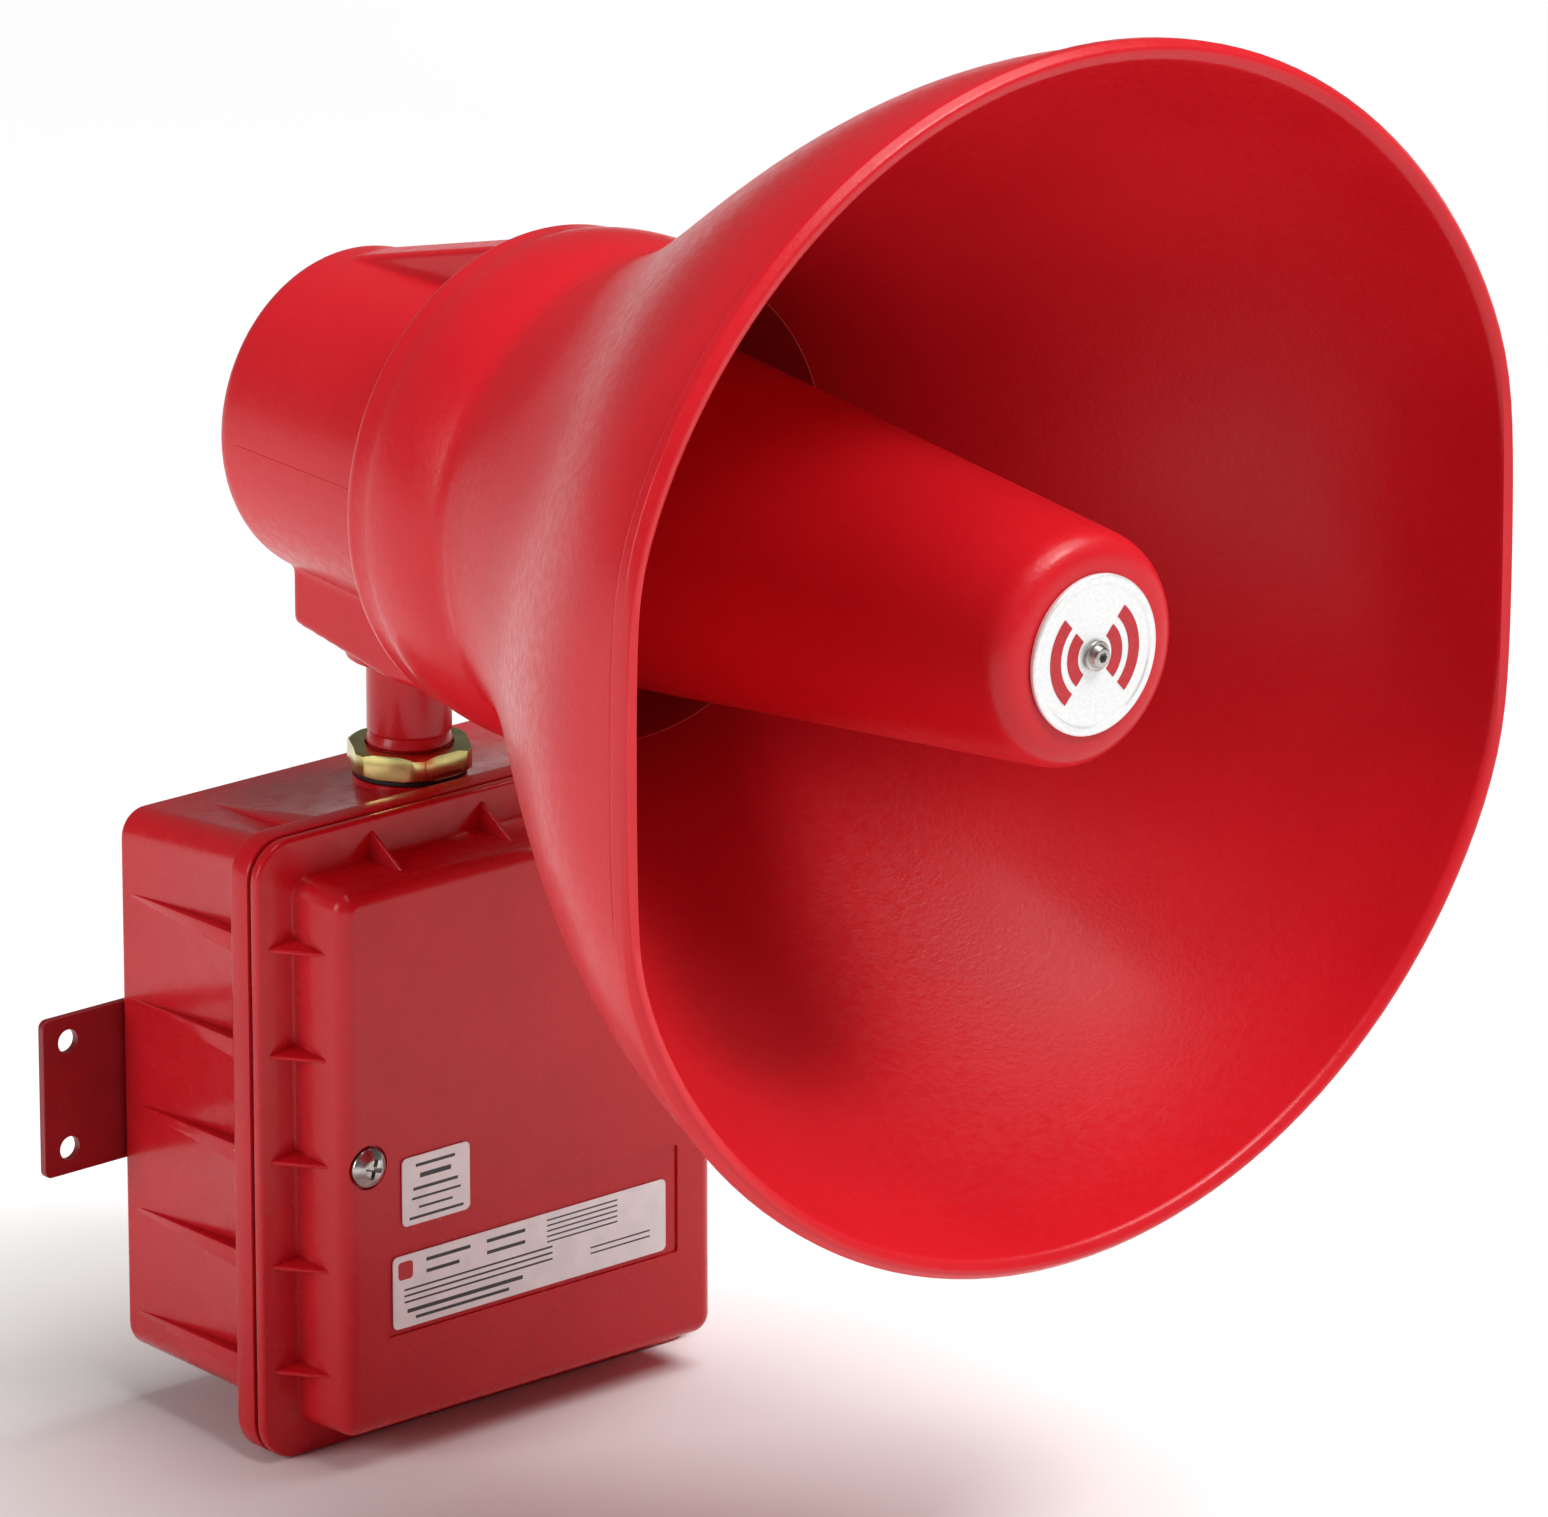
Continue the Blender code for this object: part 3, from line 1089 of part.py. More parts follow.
def build_bell(red, rubber, screw_steel, head):
    outside, inside = bell_outline()
    bm = bmesh.new()
    rings = []
    for points, limit in ((outside, FLAT_HALF_WIDTH), (inside, FLAT_HALF_WIDTH - BELL_WALL)):
        for ahead, radius in points:
            ring = []
            for step in range(FINE):
                angle = 2 * pi * step / FINE
                point = Vector((radius * cos(angle), -ahead, radius * sin(angle)))
                if ahead > CREASE_AHEAD:
                    flat_sided(point, limit)
                    point.z -= MOUTH_DROP * min(1.0, flare_share(ahead))
                ring.append(bm.verts.new(point))
            rings.append(ring)
    for low, high in zip(rings, rings[1:] + rings[:1]):
        for i in range(FINE):
            j = (i + 1) % FINE
            bm.faces.new((low[i], low[j], high[j], high[i]))
    bell = place("horn_bell", bm, red, head)
    spots = [Vector((spot.x, -BELL_REAR, spot.z))
             for spot in ring_points(BELL_SCREW_COUNT, BELL_SCREW_RING, BELL_SCREW_TURN)]
    holes = cylinders_tool("bell_holes_tool", BELL_SCREW_SHANK + SCREW_PLAY, -1, BELL_PLATE + 1, AHEAD, spots)
    holes.parent = head
    combine(bell, holes, "DIFFERENCE")

    inner = HOUSING_FRONT_RADIUS - HOUSING_WALL + 1
    rear = HOUSING_FRONT + GAP
    outline = [(rear, inner), (rear, COLLAR_RADIUS - 1), (rear + GASKET_THICKNESS, COLLAR_RADIUS - 1),
               (rear + GASKET_THICKNESS, inner)]
    gasket = turned("bell_gasket", outline, rubber, AHEAD, MEDIUM, head)
    spots = [Vector((spot.x, -rear, spot.z)) for spot in spots]
    holes = cylinders_tool("gasket_holes_tool", BELL_SCREW_SHANK + SCREW_PLAY, -1, GASKET_THICKNESS + 1,
                           AHEAD, spots)
    combine(gasket, holes, "DIFFERENCE")

    outline = screw_outline(BELL_PLATE_FRONT + GAP, BELL_SCREW_HEAD, BELL_SCREW_HEAD_HEIGHT,
                            BELL_SCREW_SHANK, bell_screw_length())
    for index, spot in enumerate(ring_points(BELL_SCREW_COUNT, BELL_SCREW_RING, BELL_SCREW_TURN), 1):
        place(f"bell_screw_{index}", turned_mesh(outline, AHEAD, SMALL, centre=spot), screw_steel, head)


# ---------------------------------------------------------------- middle of the mouth

def reflector_radius(ahead):
    nose_start = REFLECTOR_FRONT - REFLECTOR_NOSE
    share = (ahead - REFLECTOR_REAR) / (nose_start - REFLECTOR_REAR)
    return REFLECTOR_REAR_RADIUS + (REFLECTOR_FRONT_RADIUS - REFLECTOR_REAR_RADIUS) * share


def build_reflector(red, aluminium, screw_steel, head):
    nose = REFLECTOR_NOSE
    wall = REFLECTOR_WALL
    hole = BADGE_SCREW_SHANK + SCREW_PLAY
    start = REFLECTOR_FRONT - nose
    outline = [(REFLECTOR_REAR, REFLECTOR_REAR_RADIUS - wall), (REFLECTOR_REAR, REFLECTOR_REAR_RADIUS)]
    outline += arc((start, REFLECTOR_FRONT_RADIUS - nose), nose, 90, 0, 4)
    outline += [(REFLECTOR_FRONT, hole), (REFLECTOR_FRONT - wall, hole)]
    outline += arc((start, REFLECTOR_FRONT_RADIUS - nose), nose - wall, 0, 90, 2)
    turned("reflector_cone", outline, red, AHEAD, MEDIUM, head)

    radius = BADGE_RADIUS
    raised = BADGE_THICKNESS
    outline = [(0, hole), (0, radius), (raised * 0.7, radius), (raised, radius - 0.4),
               (raised, radius - BADGE_RIM), (raised * 0.65, radius - BADGE_RIM - 0.4), (raised * 0.65, hole)]
    turned("badge_disc", outline, aluminium, AHEAD, MEDIUM, head, (0, -BADGE_REAR, 0))
    outline = screw_outline(0, BADGE_SCREW_HEAD, BADGE_SCREW_HEAD_HEIGHT, BADGE_SCREW_SHANK, BADGE_SCREW_LENGTH)
    turned("badge_screw", outline, screw_steel, AHEAD, SMALL, head, (0, -BADGE_FRONT - GAP, 0))


def build_throat(grey, head):
    front = THROAT_TUBE_END
    flange_rear = BELL_PLATE_FRONT + GAP
    flange_front = flange_rear + THROAT_FLANGE
    rear = BELL_REAR + GAP
    outline = [
        (rear, THROAT_RADIUS),
        (rear, THROAT_SPIGOT_RADIUS),
        (flange_rear, THROAT_SPIGOT_RADIUS),
        (flange_rear, THROAT_FLANGE_RADIUS),
        (flange_front, THROAT_FLANGE_RADIUS),
        (flange_front, THROAT_RADIUS + THROAT_TUBE_WALL),
        (front, THROAT_MOUTH_RADIUS + THROAT_TUBE_WALL),
        (front, THROAT_MOUTH_RADIUS),
    ]
    turned("throat_tube", outline, grey, AHEAD, MEDIUM, head)

    rear = front - SPIDER_LENGTH - 1
    share = (rear - BELL_REAR) / (front - BELL_REAR)
    outer = THROAT_RADIUS + (THROAT_MOUTH_RADIUS - THROAT_RADIUS) * share - GAP
    outline = [(rear, outer - SPIDER_RING), (rear, outer), (front - 1, outer), (front - 1, outer - SPIDER_RING)]
    spider = turned("reflector_spider", outline, grey, AHEAD, MEDIUM, head)
    hub = cylinder_tool("spider_hub_tool", SPIDER_HUB, rear, SPIDER_FRONT, AHEAD)
    hub.parent = head
    vanes = bmesh.new()
    half = SPIDER_VANE / 2
    for step in range(SPIDER_VANES):
        turn = Matrix.Rotation(2 * pi * step / SPIDER_VANES, 4, "Y")
        reach = outer - SPIDER_RING * 0.5
        corners = [(-half, SPIDER_HUB * 0.5), (half, SPIDER_HUB * 0.5), (half, reach), (-half, reach)]
        loops = [[turn @ Vector((x, -ahead, z)) for x, z in corners] for ahead in (rear + 1, front - 2)]
        loft_mesh(loops, vanes)
    combine(spider, place("spider_vanes_tool", vanes, None, head), "UNION")
    combine(spider, hub, "UNION")
    bore = cylinder_tool("spider_bore_tool", BADGE_SCREW_SHANK + SCREW_PLAY,
                         BADGE_FRONT - BADGE_SCREW_LENGTH - 2, SPIDER_FRONT + 1, AHEAD, steps=SMALL)
    bore.parent = head
    combine(spider, bore, "DIFFERENCE")


# ---------------------------------------------------------------- driver

def build_driver(steel, ferrite, plastic, film, screw_steel, head):
    plate_front = YOKE_REAR + YOKE_PLATE
    outline = [(YOKE_REAR, 0), (YOKE_REAR, MAGNET_RADIUS - 1), (YOKE_REAR + 1, MAGNET_RADIUS),
               (plate_front, MAGNET_RADIUS), (plate_front, POLE_RADIUS), (TOP_PLATE_FRONT, POLE_RADIUS),
               (TOP_PLATE_FRONT, 0)]
    turned("magnet_yoke", outline, steel, AHEAD, COARSE, head)
    rear = MAGNET_REAR
    front = rear + MAGNET_LENGTH
    outline = [(rear, MAGNET_BORE), (rear, MAGNET_RADIUS), (front, MAGNET_RADIUS), (front, MAGNET_BORE)]
    turned("ring_magnet", outline, ferrite, AHEAD, COARSE, head)

    screw_hole = DRIVER_SCREW_SHANK + SCREW_PLAY
    spots = ring_points(DRIVER_SCREWS, DRIVER_SCREW_RING, 90)
    rear, front = TOP_PLATE_REAR, TOP_PLATE_FRONT
    outline = [(rear, TOP_PLATE_BORE), (rear, TOP_PLATE_RADIUS), (front, TOP_PLATE_RADIUS), (front, TOP_PLATE_BORE)]
    top_plate = turned("top_plate", outline, steel, AHEAD, COARSE, head)
    clamp_rear = TOP_PLATE_FRONT + GAP
    clamp_front = clamp_rear + CLAMP_LENGTH
    clamp_bore = SURROUND_RADIUS + 0.5
    outline = [(clamp_rear, clamp_bore), (clamp_rear, TOP_PLATE_RADIUS), (clamp_front, TOP_PLATE_RADIUS),
               (clamp_front, clamp_bore)]
    clamp = turned("diaphragm_clamp", outline, plastic, AHEAD, COARSE, head)

    rear = THROAT_PLATE_REAR
    seat_front = HOUSING_FRONT + GAP
    seat_rear = seat_front - THROAT_PLATE
    outline = [
        (rear, THROAT_BORE), (rear, THROAT_PLATE_RADIUS), (rear + THROAT_PLATE, THROAT_PLATE_RADIUS),
        (rear + THROAT_PLATE, THROAT_NECK_RADIUS), (seat_rear, THROAT_NECK_RADIUS),
        (seat_rear, THROAT_SEAT_RADIUS), (seat_front, THROAT_SEAT_RADIUS), (seat_front, THROAT_RADIUS),
    ]
    throat_plate = turned("throat_plate", outline, plastic, AHEAD, COARSE, head)
    for piece, start, end in ((top_plate, TOP_PLATE_REAR - 1, TOP_PLATE_FRONT + 1),
                              (clamp, clamp_rear - 1, clamp_front + 1),
                              (throat_plate, rear - 1, rear + THROAT_PLATE - 0.6)):
        holes = cylinders_tool(piece.name + "_holes_tool", screw_hole, start, end, AHEAD, spots)
        holes.parent = head
        combine(piece, holes, "DIFFERENCE")

    head_front = TOP_PLATE_REAR - GAP
    length = rear + THROAT_PLATE - 1.2 - head_front
    outline = screw_outline(0, DRIVER_SCREW_HEAD, DRIVER_SCREW_HEAD_HEIGHT, DRIVER_SCREW_SHANK, length)
    for index, spot in enumerate(spots, 1):
        bm = turned_mesh(outline, -AHEAD, SMALL)
        place(f"driver_screw_{index}", bm, screw_steel, head, (spot.x, -head_front, spot.z))

    coil_inner = POLE_RADIUS + COIL_GAP
    coil_outer = coil_inner + COIL_WALL
    foot = TOP_PLATE_FRONT + 3.5
    coil_rear = foot - COIL_LENGTH
    top = foot + SKIN
    steps = 4
    dome = [(DOME_RISE * cos(pi / 2 * step / steps), coil_inner * sin(pi / 2 * step / steps))
            for step in range(steps + 1)]
    over = [(top + rise, radius) for rise, radius in dome]
    under = [(foot - 0.2 + rise, radius) for rise, radius in reversed(dome)]
    outline = over[:-1] + [(top, coil_outer + 0.6), (top, SURROUND_RADIUS), (foot, SURROUND_RADIUS),
                           (foot, coil_outer), (coil_rear, coil_outer), (coil_rear, coil_inner)] + under
    turned("diaphragm", outline, film, AHEAD, COARSE, head)


# ---------------------------------------------------------------- the whole object

def main():
    clear_scene()
    red = finish_material("red_powder_coat", (0.62, 0.02, 0.03), 0.35)
    red_steel = finish_material("red_painted_steel", (0.45, 0.02, 0.025), 0.4)
    red_metal = finish_material("red_painted_pipe", (0.5, 0.02, 0.025), 0.35)
    zinc = finish_material("yellow_zinc", (0.45, 0.36, 0.16), 0.35, 1.0)
    bare_steel = finish_material("bright_steel", (0.6, 0.6, 0.6), 0.3, 1.0)
    dark_steel = finish_material("plated_steel", (0.35, 0.35, 0.36), 0.4, 1.0)
    aluminium = finish_material("satin_aluminium", (0.75, 0.75, 0.76), 0.35, 1.0)
    paper = finish_material("white_vinyl", (0.85, 0.85, 0.85), 0.45)
    rubber = finish_material("black_rubber", (0.03, 0.03, 0.03), 0.8)
    fibre = finish_material("black_fibre", (0.05, 0.05, 0.05), 0.8)
    ferrite = finish_material("ferrite", (0.08, 0.08, 0.09), 0.6)
    grey = finish_material("grey_plastic", (0.2, 0.2, 0.21), 0.5)
    black = finish_material("black_plastic", (0.03, 0.03, 0.03), 0.5)
    film = finish_material("phenolic_film", (0.4, 0.22, 0.1), 0.5)
    board = finish_material("green_board", (0.02, 0.2, 0.08), 0.5)
    iron = finish_material("silicon_iron", (0.3, 0.3, 0.32), 0.5, 1.0)
    tape = finish_material("yellow_tape", (0.7, 0.55, 0.1), 0.5)
    red_wire = finish_material("red_wire", (0.6, 0.03, 0.03), 0.5)
    black_wire = finish_material("black_wire", (0.02, 0.02, 0.02), 0.5)

    cover_slide = pivot("cover_slide", (0, 0, 0))
    head = pivot("horn_swivel", (0, -STEM_SETBACK, HORN_Z))

    build_strap(red_steel, bare_steel)
    build_box(red)
    build_conduit_plug(zinc, bare_steel)
    build_cover(red, rubber, bare_steel, paper, cover_slide)
    build_board(board, bare_steel)
    build_transformer(iron, tape)
    build_components(black, board, aluminium, bare_steel)
    build_stem(red_metal, zinc, bare_steel, fibre, head)
    build_leads(red_wire, black_wire, black, head)
    build_housing(red, bare_steel, head)
    build_bell(red, rubber, bare_steel, head)
    build_throat(grey, head)
    build_reflector(red, aluminium, bare_steel, head)
    build_driver(dark_steel, ferrite, grey, film, bare_steel, head)


main()
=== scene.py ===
"""Looks of the alarm horn: painted castings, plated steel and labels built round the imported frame.

Lengths are in millimetres until a mesh becomes an object. "Ahead" is the distance in front of the
stem's axis, towards the horn's mouth, which is -Y in the row frame.
"""
import json
from math import cos, pi, radians, sin, sqrt, tan

import bmesh
import bpy
from mathutils import Matrix, Vector


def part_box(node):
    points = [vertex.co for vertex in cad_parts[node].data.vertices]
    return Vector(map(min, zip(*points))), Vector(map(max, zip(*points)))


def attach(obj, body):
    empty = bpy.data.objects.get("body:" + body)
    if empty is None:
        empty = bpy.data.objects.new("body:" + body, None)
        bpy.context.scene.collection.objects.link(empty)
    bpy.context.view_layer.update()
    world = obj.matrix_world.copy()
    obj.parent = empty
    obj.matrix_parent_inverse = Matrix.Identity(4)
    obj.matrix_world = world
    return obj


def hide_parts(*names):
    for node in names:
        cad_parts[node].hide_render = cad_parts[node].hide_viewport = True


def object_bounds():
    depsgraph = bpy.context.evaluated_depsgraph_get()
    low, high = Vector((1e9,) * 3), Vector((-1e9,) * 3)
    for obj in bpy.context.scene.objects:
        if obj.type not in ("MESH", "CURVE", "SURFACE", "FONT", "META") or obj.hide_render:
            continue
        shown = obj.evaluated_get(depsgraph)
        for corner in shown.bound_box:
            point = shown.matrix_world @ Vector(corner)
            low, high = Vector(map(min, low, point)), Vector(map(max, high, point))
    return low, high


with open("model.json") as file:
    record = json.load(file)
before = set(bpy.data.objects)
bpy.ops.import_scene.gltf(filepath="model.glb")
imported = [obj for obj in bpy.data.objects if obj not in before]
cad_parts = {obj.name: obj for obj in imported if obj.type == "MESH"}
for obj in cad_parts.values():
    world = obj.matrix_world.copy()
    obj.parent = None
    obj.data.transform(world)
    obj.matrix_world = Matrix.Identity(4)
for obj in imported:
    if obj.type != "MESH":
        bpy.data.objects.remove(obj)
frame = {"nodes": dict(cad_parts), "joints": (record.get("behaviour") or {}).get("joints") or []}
CAD_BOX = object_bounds()

MM = 0.001

# ---------------------------------------------------------------- places taken from the frame

JOINTS = {joint["name"]: joint for joint in frame["joints"]}
AXIS_X, STEM_Y, HORN_Z = (value / MM for value in JOINTS["horn_swivel"]["pos_m"])


def corners(node):
    """Lowest and highest corner of a CAD node in millimetres."""
    low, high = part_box(node)
    return low / MM, high / MM


def ahead_range(node):
    """How far in front of the stem's axis a CAD node starts and ends."""
    low, high = corners(node)
    return STEM_Y - high.y, STEM_Y - low.y


BOX_LOW, BOX_HIGH = corners("enclosure_box")
COVER_LOW, COVER_HIGH = corners("enclosure_cover")
BELL_LOW, BELL_HIGH = corners("horn_bell")

# Control box
BOX_TOP = 73.0
BOX_BOTTOM = -70.5
BOX_HALF = 65.0
BOX_TOP_DRAFT = 4.0
BOX_BOTTOM_DRAFT = 1.2
BOX_WALL = 3.0
BOX_CORNER = 7.0
REAR_FILLET = 1.6
PAD_RADIUS = 14.0
BOX_REAR_Y = -2.3
BOX_FRONT_Y = -57.3
FLANGE_REAR_Y = -50.6
FLANGE_HALF = BOX_HIGH.x
FLANGE_CORNER = 10.0
FLANGE_EDGE = 0.9
RIB_PITCH = 26.8
RIB_CENTRE_Z = -5.0
RIB_COUNT = 5
SIDE_RIB_THIN = 1.0
SIDE_RIB_THICK = 5.0
SIDE_RIB_START = 2.5
TOP_RIB_X = 46.0
TOP_RIB_WIDTH = 9.0

# Cover
COVER_REAR_Y = COVER_HIGH.y
COVER_FLANGE_Y = COVER_REAR_Y - 2.8
COVER_FRONT_Y = COVER_LOW.y
COVER_WALL = 2.5
PAN_HALF = FLANGE_HALF - 10.8
PAN_TOP = COVER_HIGH.z - 10.0
PAN_BOTTOM = COVER_LOW.z + 7.8
PAN_CORNER = 5.0
PAN_FILLET = 4.0
PAN_DRAFT = 0.5
GUSSET_REACH = 12.0
GUSSET_INSET = 3.0
GUSSET_ROOT = 3.6
GUSSET_TIP = 0.9
TOP_GUSSET_PITCH = 34.3
TOP_GUSSET_COUNT = 3
SCREW_SPACING = 102.0
SCREW_Z = -5.0
SCREW_HEAD = 5.0
SCREW_SEAT = 5.6
SCREW_SINK = 1.0
RECESS_CENTRE = (0.4, -36.0)
RECESS_SIZE = (92.0, 28.0)
RECESS_DEPTH = 0.6

# Driver casting
HOUSING_REAR, HOUSING_FRONT = ahead_range("driver_housing")
HOUSING_REAR_RADIUS = 40.3
HOUSING_FRONT_RADIUS = 45.0
HOUSING_WALL = 4.0
COLLAR_RADIUS = 53.5
COLLAR_THICKNESS = 3.0
SPINE_HALF = 7.25       # rib along its top
FOOT_HALF = 20.0        # block under it that takes the stem
BOSS_LOW = -57.5
BOSS_TOP = -46.0
BOSS_RADIUS = 15.5
STEM_BORE = 10.95
CAST_GRAIN = 0.8        # size of the steps that its cast fillets are made from

# Bell
BELL_REAR = STEM_Y - BELL_HIGH.y
MOUTH_AHEAD = STEM_Y - BELL_LOW.y
MOUTH_RADIUS = (BELL_HIGH.z - BELL_LOW.z) / 2
MOUTH_DROP = HORN_Z - (BELL_HIGH.z + BELL_LOW.z) / 2
BELL_WALL = 3.2
BELL_PLATE = 4.0
HUB_RADIUS = 16.0
SHOULDER_RADIUS = 60.3
DRUM_BULGE = 2.0
CREASE_AHEAD = 86.0
CREASE_RADIUS = 60.5
CREASE_SLOPE = 0.34
MOUTH_SLOPE = 0.15
FLAT_HALF_WIDTH = 136.8
FLAT_BLEND = 5.0
BEAD_WIDTH = 6.5
BEAD_HEIGHT = 2.4

# Bullet in the mouth
BULLET_REAR, BULLET_FRONT = ahead_range("reflector_cone")
BULLET_REAR_RADIUS = 44.5
BULLET_FRONT_RADIUS = 28.3
BULLET_NOSE = 9.4
BULLET_WALL = 2.5
EMBLEM_ARCS = ((5.2, 8.4), (10.4, 13.6))

# Stem
PIPE_BORE = 7.9
THREAD_PITCH = 1.8
THREAD_DEPTH = 0.75
NUT_BORE = 10.9
WASHER_BORE = 11.0

AROUND = 144            # faces round the large turned parts
SMALL_AROUND = 48       # and round the small ones


# ---------------------------------------------------------------- colour and node helpers

def linear(code):
    """A colour written as an sRGB hex value, in the linear values that shaders take."""
    parts = [int(code[i:i + 2], 16) / 255 for i in (1, 3, 5)]
    return (*[p / 12.92 if p <= 0.04045 else ((p + 0.055) / 1.055) ** 2.4 for p in parts], 1.0)


def add(tree, kind, inputs=None, **settings):
    """Add a node with its settings; each input takes a value, or a socket that is joined to it."""
    node = tree.nodes.new(kind)
    for name, value in settings.items():
        setattr(node, name, value)
    for name, value in (inputs or {}).items():
        if isinstance(value, bpy.types.NodeSocket):
            tree.links.new(value, node.inputs[name])
        else:
            node.inputs[name].default_value = value
    return node


class Finish:
    """A material in the making: its shader, and the place on the object that its patterns read."""

    def __init__(self, name, **uniform):
        self.material = bpy.data.materials.new(name)
        self.material.use_nodes = True
        self.tree = self.material.node_tree
        self.shader = self.tree.nodes["Principled BSDF"]
        self.at = add(self.tree, "ShaderNodeTexCoord").outputs["Object"]
        self.normal = None
        for socket, value in uniform.items():
            self.shader.inputs[socket.replace("_", " ")].default_value = value

    def clouds(self, size, low=0.0, high=1.0, detail=2.0, between=(0.35, 0.65), at=None):
        """Soft patches about so many millimetres across, with values from low to high."""
        patches = add(self.tree, "ShaderNodeTexNoise", {
            "Vector": at or self.at, "Scale": 1 / (size * MM), "Detail": detail})
        return add(self.tree, "ShaderNodeMapRange", {
            "Value": patches.outputs["Fac"], "From Min": between[0], "From Max": between[1],
            "To Min": low, "To Max": high}).outputs["Result"]

    def colour(self, share, first, second):
        """Colour the surface with two hex codes or sockets, shared out by a pattern."""
        ends = [linear(end) if isinstance(end, str) else end for end in (first, second)]
        mixed = add(self.tree, "ShaderNodeMix", {
            0: share, 6: ends[0], 7: ends[1]}, data_type="RGBA").outputs[2]
        self.tree.links.new(mixed, self.shader.inputs["Base Color"])
        return mixed

    def roughness(self, pattern):
        """Let a pattern say how rough the surface is."""
        self.tree.links.new(pattern, self.shader.inputs["Roughness"])

    def relief(self, height, depth):
        """Raise the surface by a pattern, so many millimetres at most, on top of what is there."""
        inputs = {"Height": height, "Strength": 1.0, "Distance": depth * MM}
        if self.normal:
            inputs["Normal"] = self.normal
        self.normal = add(self.tree, "ShaderNodeBump", inputs).outputs["Normal"]
        self.tree.links.new(self.normal, self.shader.inputs["Normal"])


# ---------------------------------------------------------------- materials

def powder_coated_aluminium():
    """Polyester powder baked on a sand casting: deep gloss red, with orange peel about 1.5 mm across
    that breaks highlights into a fine glitter."""
    finish = Finish("powder_coated_cast_aluminium", IOR=1.5, Specular_IOR_Level=0.26, Coat_Weight=0.1,
                    Coat_Roughness=0.15)
    finish.colour(finish.clouds(45), "#CB1722", "#D21B26")
    finish.roughness(finish.clouds(2.5, 0.29, 0.40, 3))
    finish.relief(finish.clouds(1.5, detail=1, between=(0.2, 0.8)), 0.030)
    finish.relief(finish.clouds(0.7, detail=1, between=(0.2, 0.8)), 0.022)
    return finish.material


def enamelled_die_casting():
    """Wet red enamel on a die-cast box: smoother than the bell, and chipped to its pale primer
    along the rim of the flange."""
    finish = Finish("enamelled_die_cast_aluminium", IOR=1.5, Specular_IOR_Level=0.24, Coat_Weight=0.15,
                    Coat_Roughness=0.08)
    red = finish.colour(finish.clouds(30), "#C0141E", "#C81822")
    place = add(finish.tree, "ShaderNodeSeparateXYZ", {"Vector": finish.at})
    behind = add(finish.tree, "ShaderNodeMath", {
        0: place.outputs["Y"], 1: FLANGE_REAR_Y * MM}, operation="SUBTRACT").outputs[0]
    away = add(finish.tree, "ShaderNodeMath", {0: behind}, operation="ABSOLUTE").outputs[0]
    rim = add(finish.tree, "ShaderNodeMapRange", {
        "Value": away, "From Min": 0.9 * MM, "From Max": 0.5 * MM}).outputs["Result"]
    chips = finish.clouds(0.9, detail=2, between=(0.66, 0.70))
    worn = add(finish.tree, "ShaderNodeMath", {0: rim, 1: chips}, operation="MULTIPLY").outputs[0]
    finish.colour(worn, red, "#EBC4BF")
    finish.roughness(finish.clouds(6, 0.22, 0.30))
    finish.relief(finish.clouds(5, detail=1, between=(0.2, 0.8)), 0.05)
    return finish.material


def painted_strip():
    """Pressed steel strip with one thin coat: flatter than the castings, and darker, partly from its duller
    paint and partly as painted shade for the shadow it lies in.
    """
    finish = Finish("painted_pressed_steel", IOR=1.5)
    # both reds are darker than the strip's own paint: painted shade for the shadow that falls on the strip
    finish.colour(finish.clouds(18, detail=3), "#8A0F17", "#95131C")
    finish.roughness(finish.clouds(4, 0.34, 0.44))
    finish.relief(finish.clouds(1.2, detail=1), 0.015)
    return finish.material


def plated(name, pale, dark, rough, patch):
    """Plated or bare steel: clouded colour, and faint marks from machining."""
    finish = Finish(name, Metallic=1.0)
    finish.colour(finish.clouds(patch, detail=3), pale, dark)
    finish.roughness(finish.clouds(6, rough - 0.03, rough + 0.04))
    drawn = add(finish.tree, "ShaderNodeMapping", {
        "Vector": finish.at, "Scale": (1, 1, 7)}).outputs["Vector"]
    finish.relief(finish.clouds(1.0, at=drawn), 0.001)
    return finish.material


def spun_aluminium():
    """Disc faced on a lathe: satin, with concentric marks 0.5 mm apart, drawn coarser than real ones."""
    finish = Finish("spun_satin_aluminium", Metallic=0.45)
    centred = add(finish.tree, "ShaderNodeMapping", {
        "Vector": finish.at, "Location": (-AXIS_X * MM, 0, -HORN_Z * MM)}).outputs["Vector"]
    rings = add(finish.tree, "ShaderNodeTexWave", {
        "Vector": centred, "Scale": pi / (10 * 0.5 * MM), "Distortion": 0.6, "Detail": 2.0,
    }, wave_type="RINGS", rings_direction="Y").outputs["Fac"]
    finish.colour(finish.clouds(0.9), "#EDEDED", "#F7F7F6")
    finish.roughness(finish.clouds(4, 0.34, 0.42))
    finish.relief(rings, 0.0015)
    return finish.material


def moulded(name, colour, shade, rough, grain=0.5, depth=0.01):
    """Moulded plastic or rubber: two close tones and the fine texture of its tool."""
    finish = Finish(name, IOR=1.5)
    finish.colour(finish.clouds(8), colour, shade)
    finish.roughness(finish.clouds(2, rough - 0.05, rough + 0.05))
    finish.relief(finish.clouds(grain), depth)
    return finish.material


def vinyl_label():
    """White vinyl label stock: smooth, faintly uneven where it was rubbed down."""
    finish = Finish("calendered_vinyl_label", IOR=1.46)
    finish.colour(finish.clouds(6), "#EDEEEE", "#F6F6F4")
    finish.roughness(finish.clouds(3, 0.34, 0.44))
    finish.relief(finish.clouds(5, detail=1), 0.012)
    return finish.material


def printing_ink(name, colour, shade):
    """Screen-printed ink: flat, with small changes in how densely it lies."""
    finish = Finish(name, IOR=1.5)
    finish.colour(finish.clouds(0.7), colour, shade)
    finish.roughness(finish.clouds(1, 0.40, 0.50))
    return finish.material


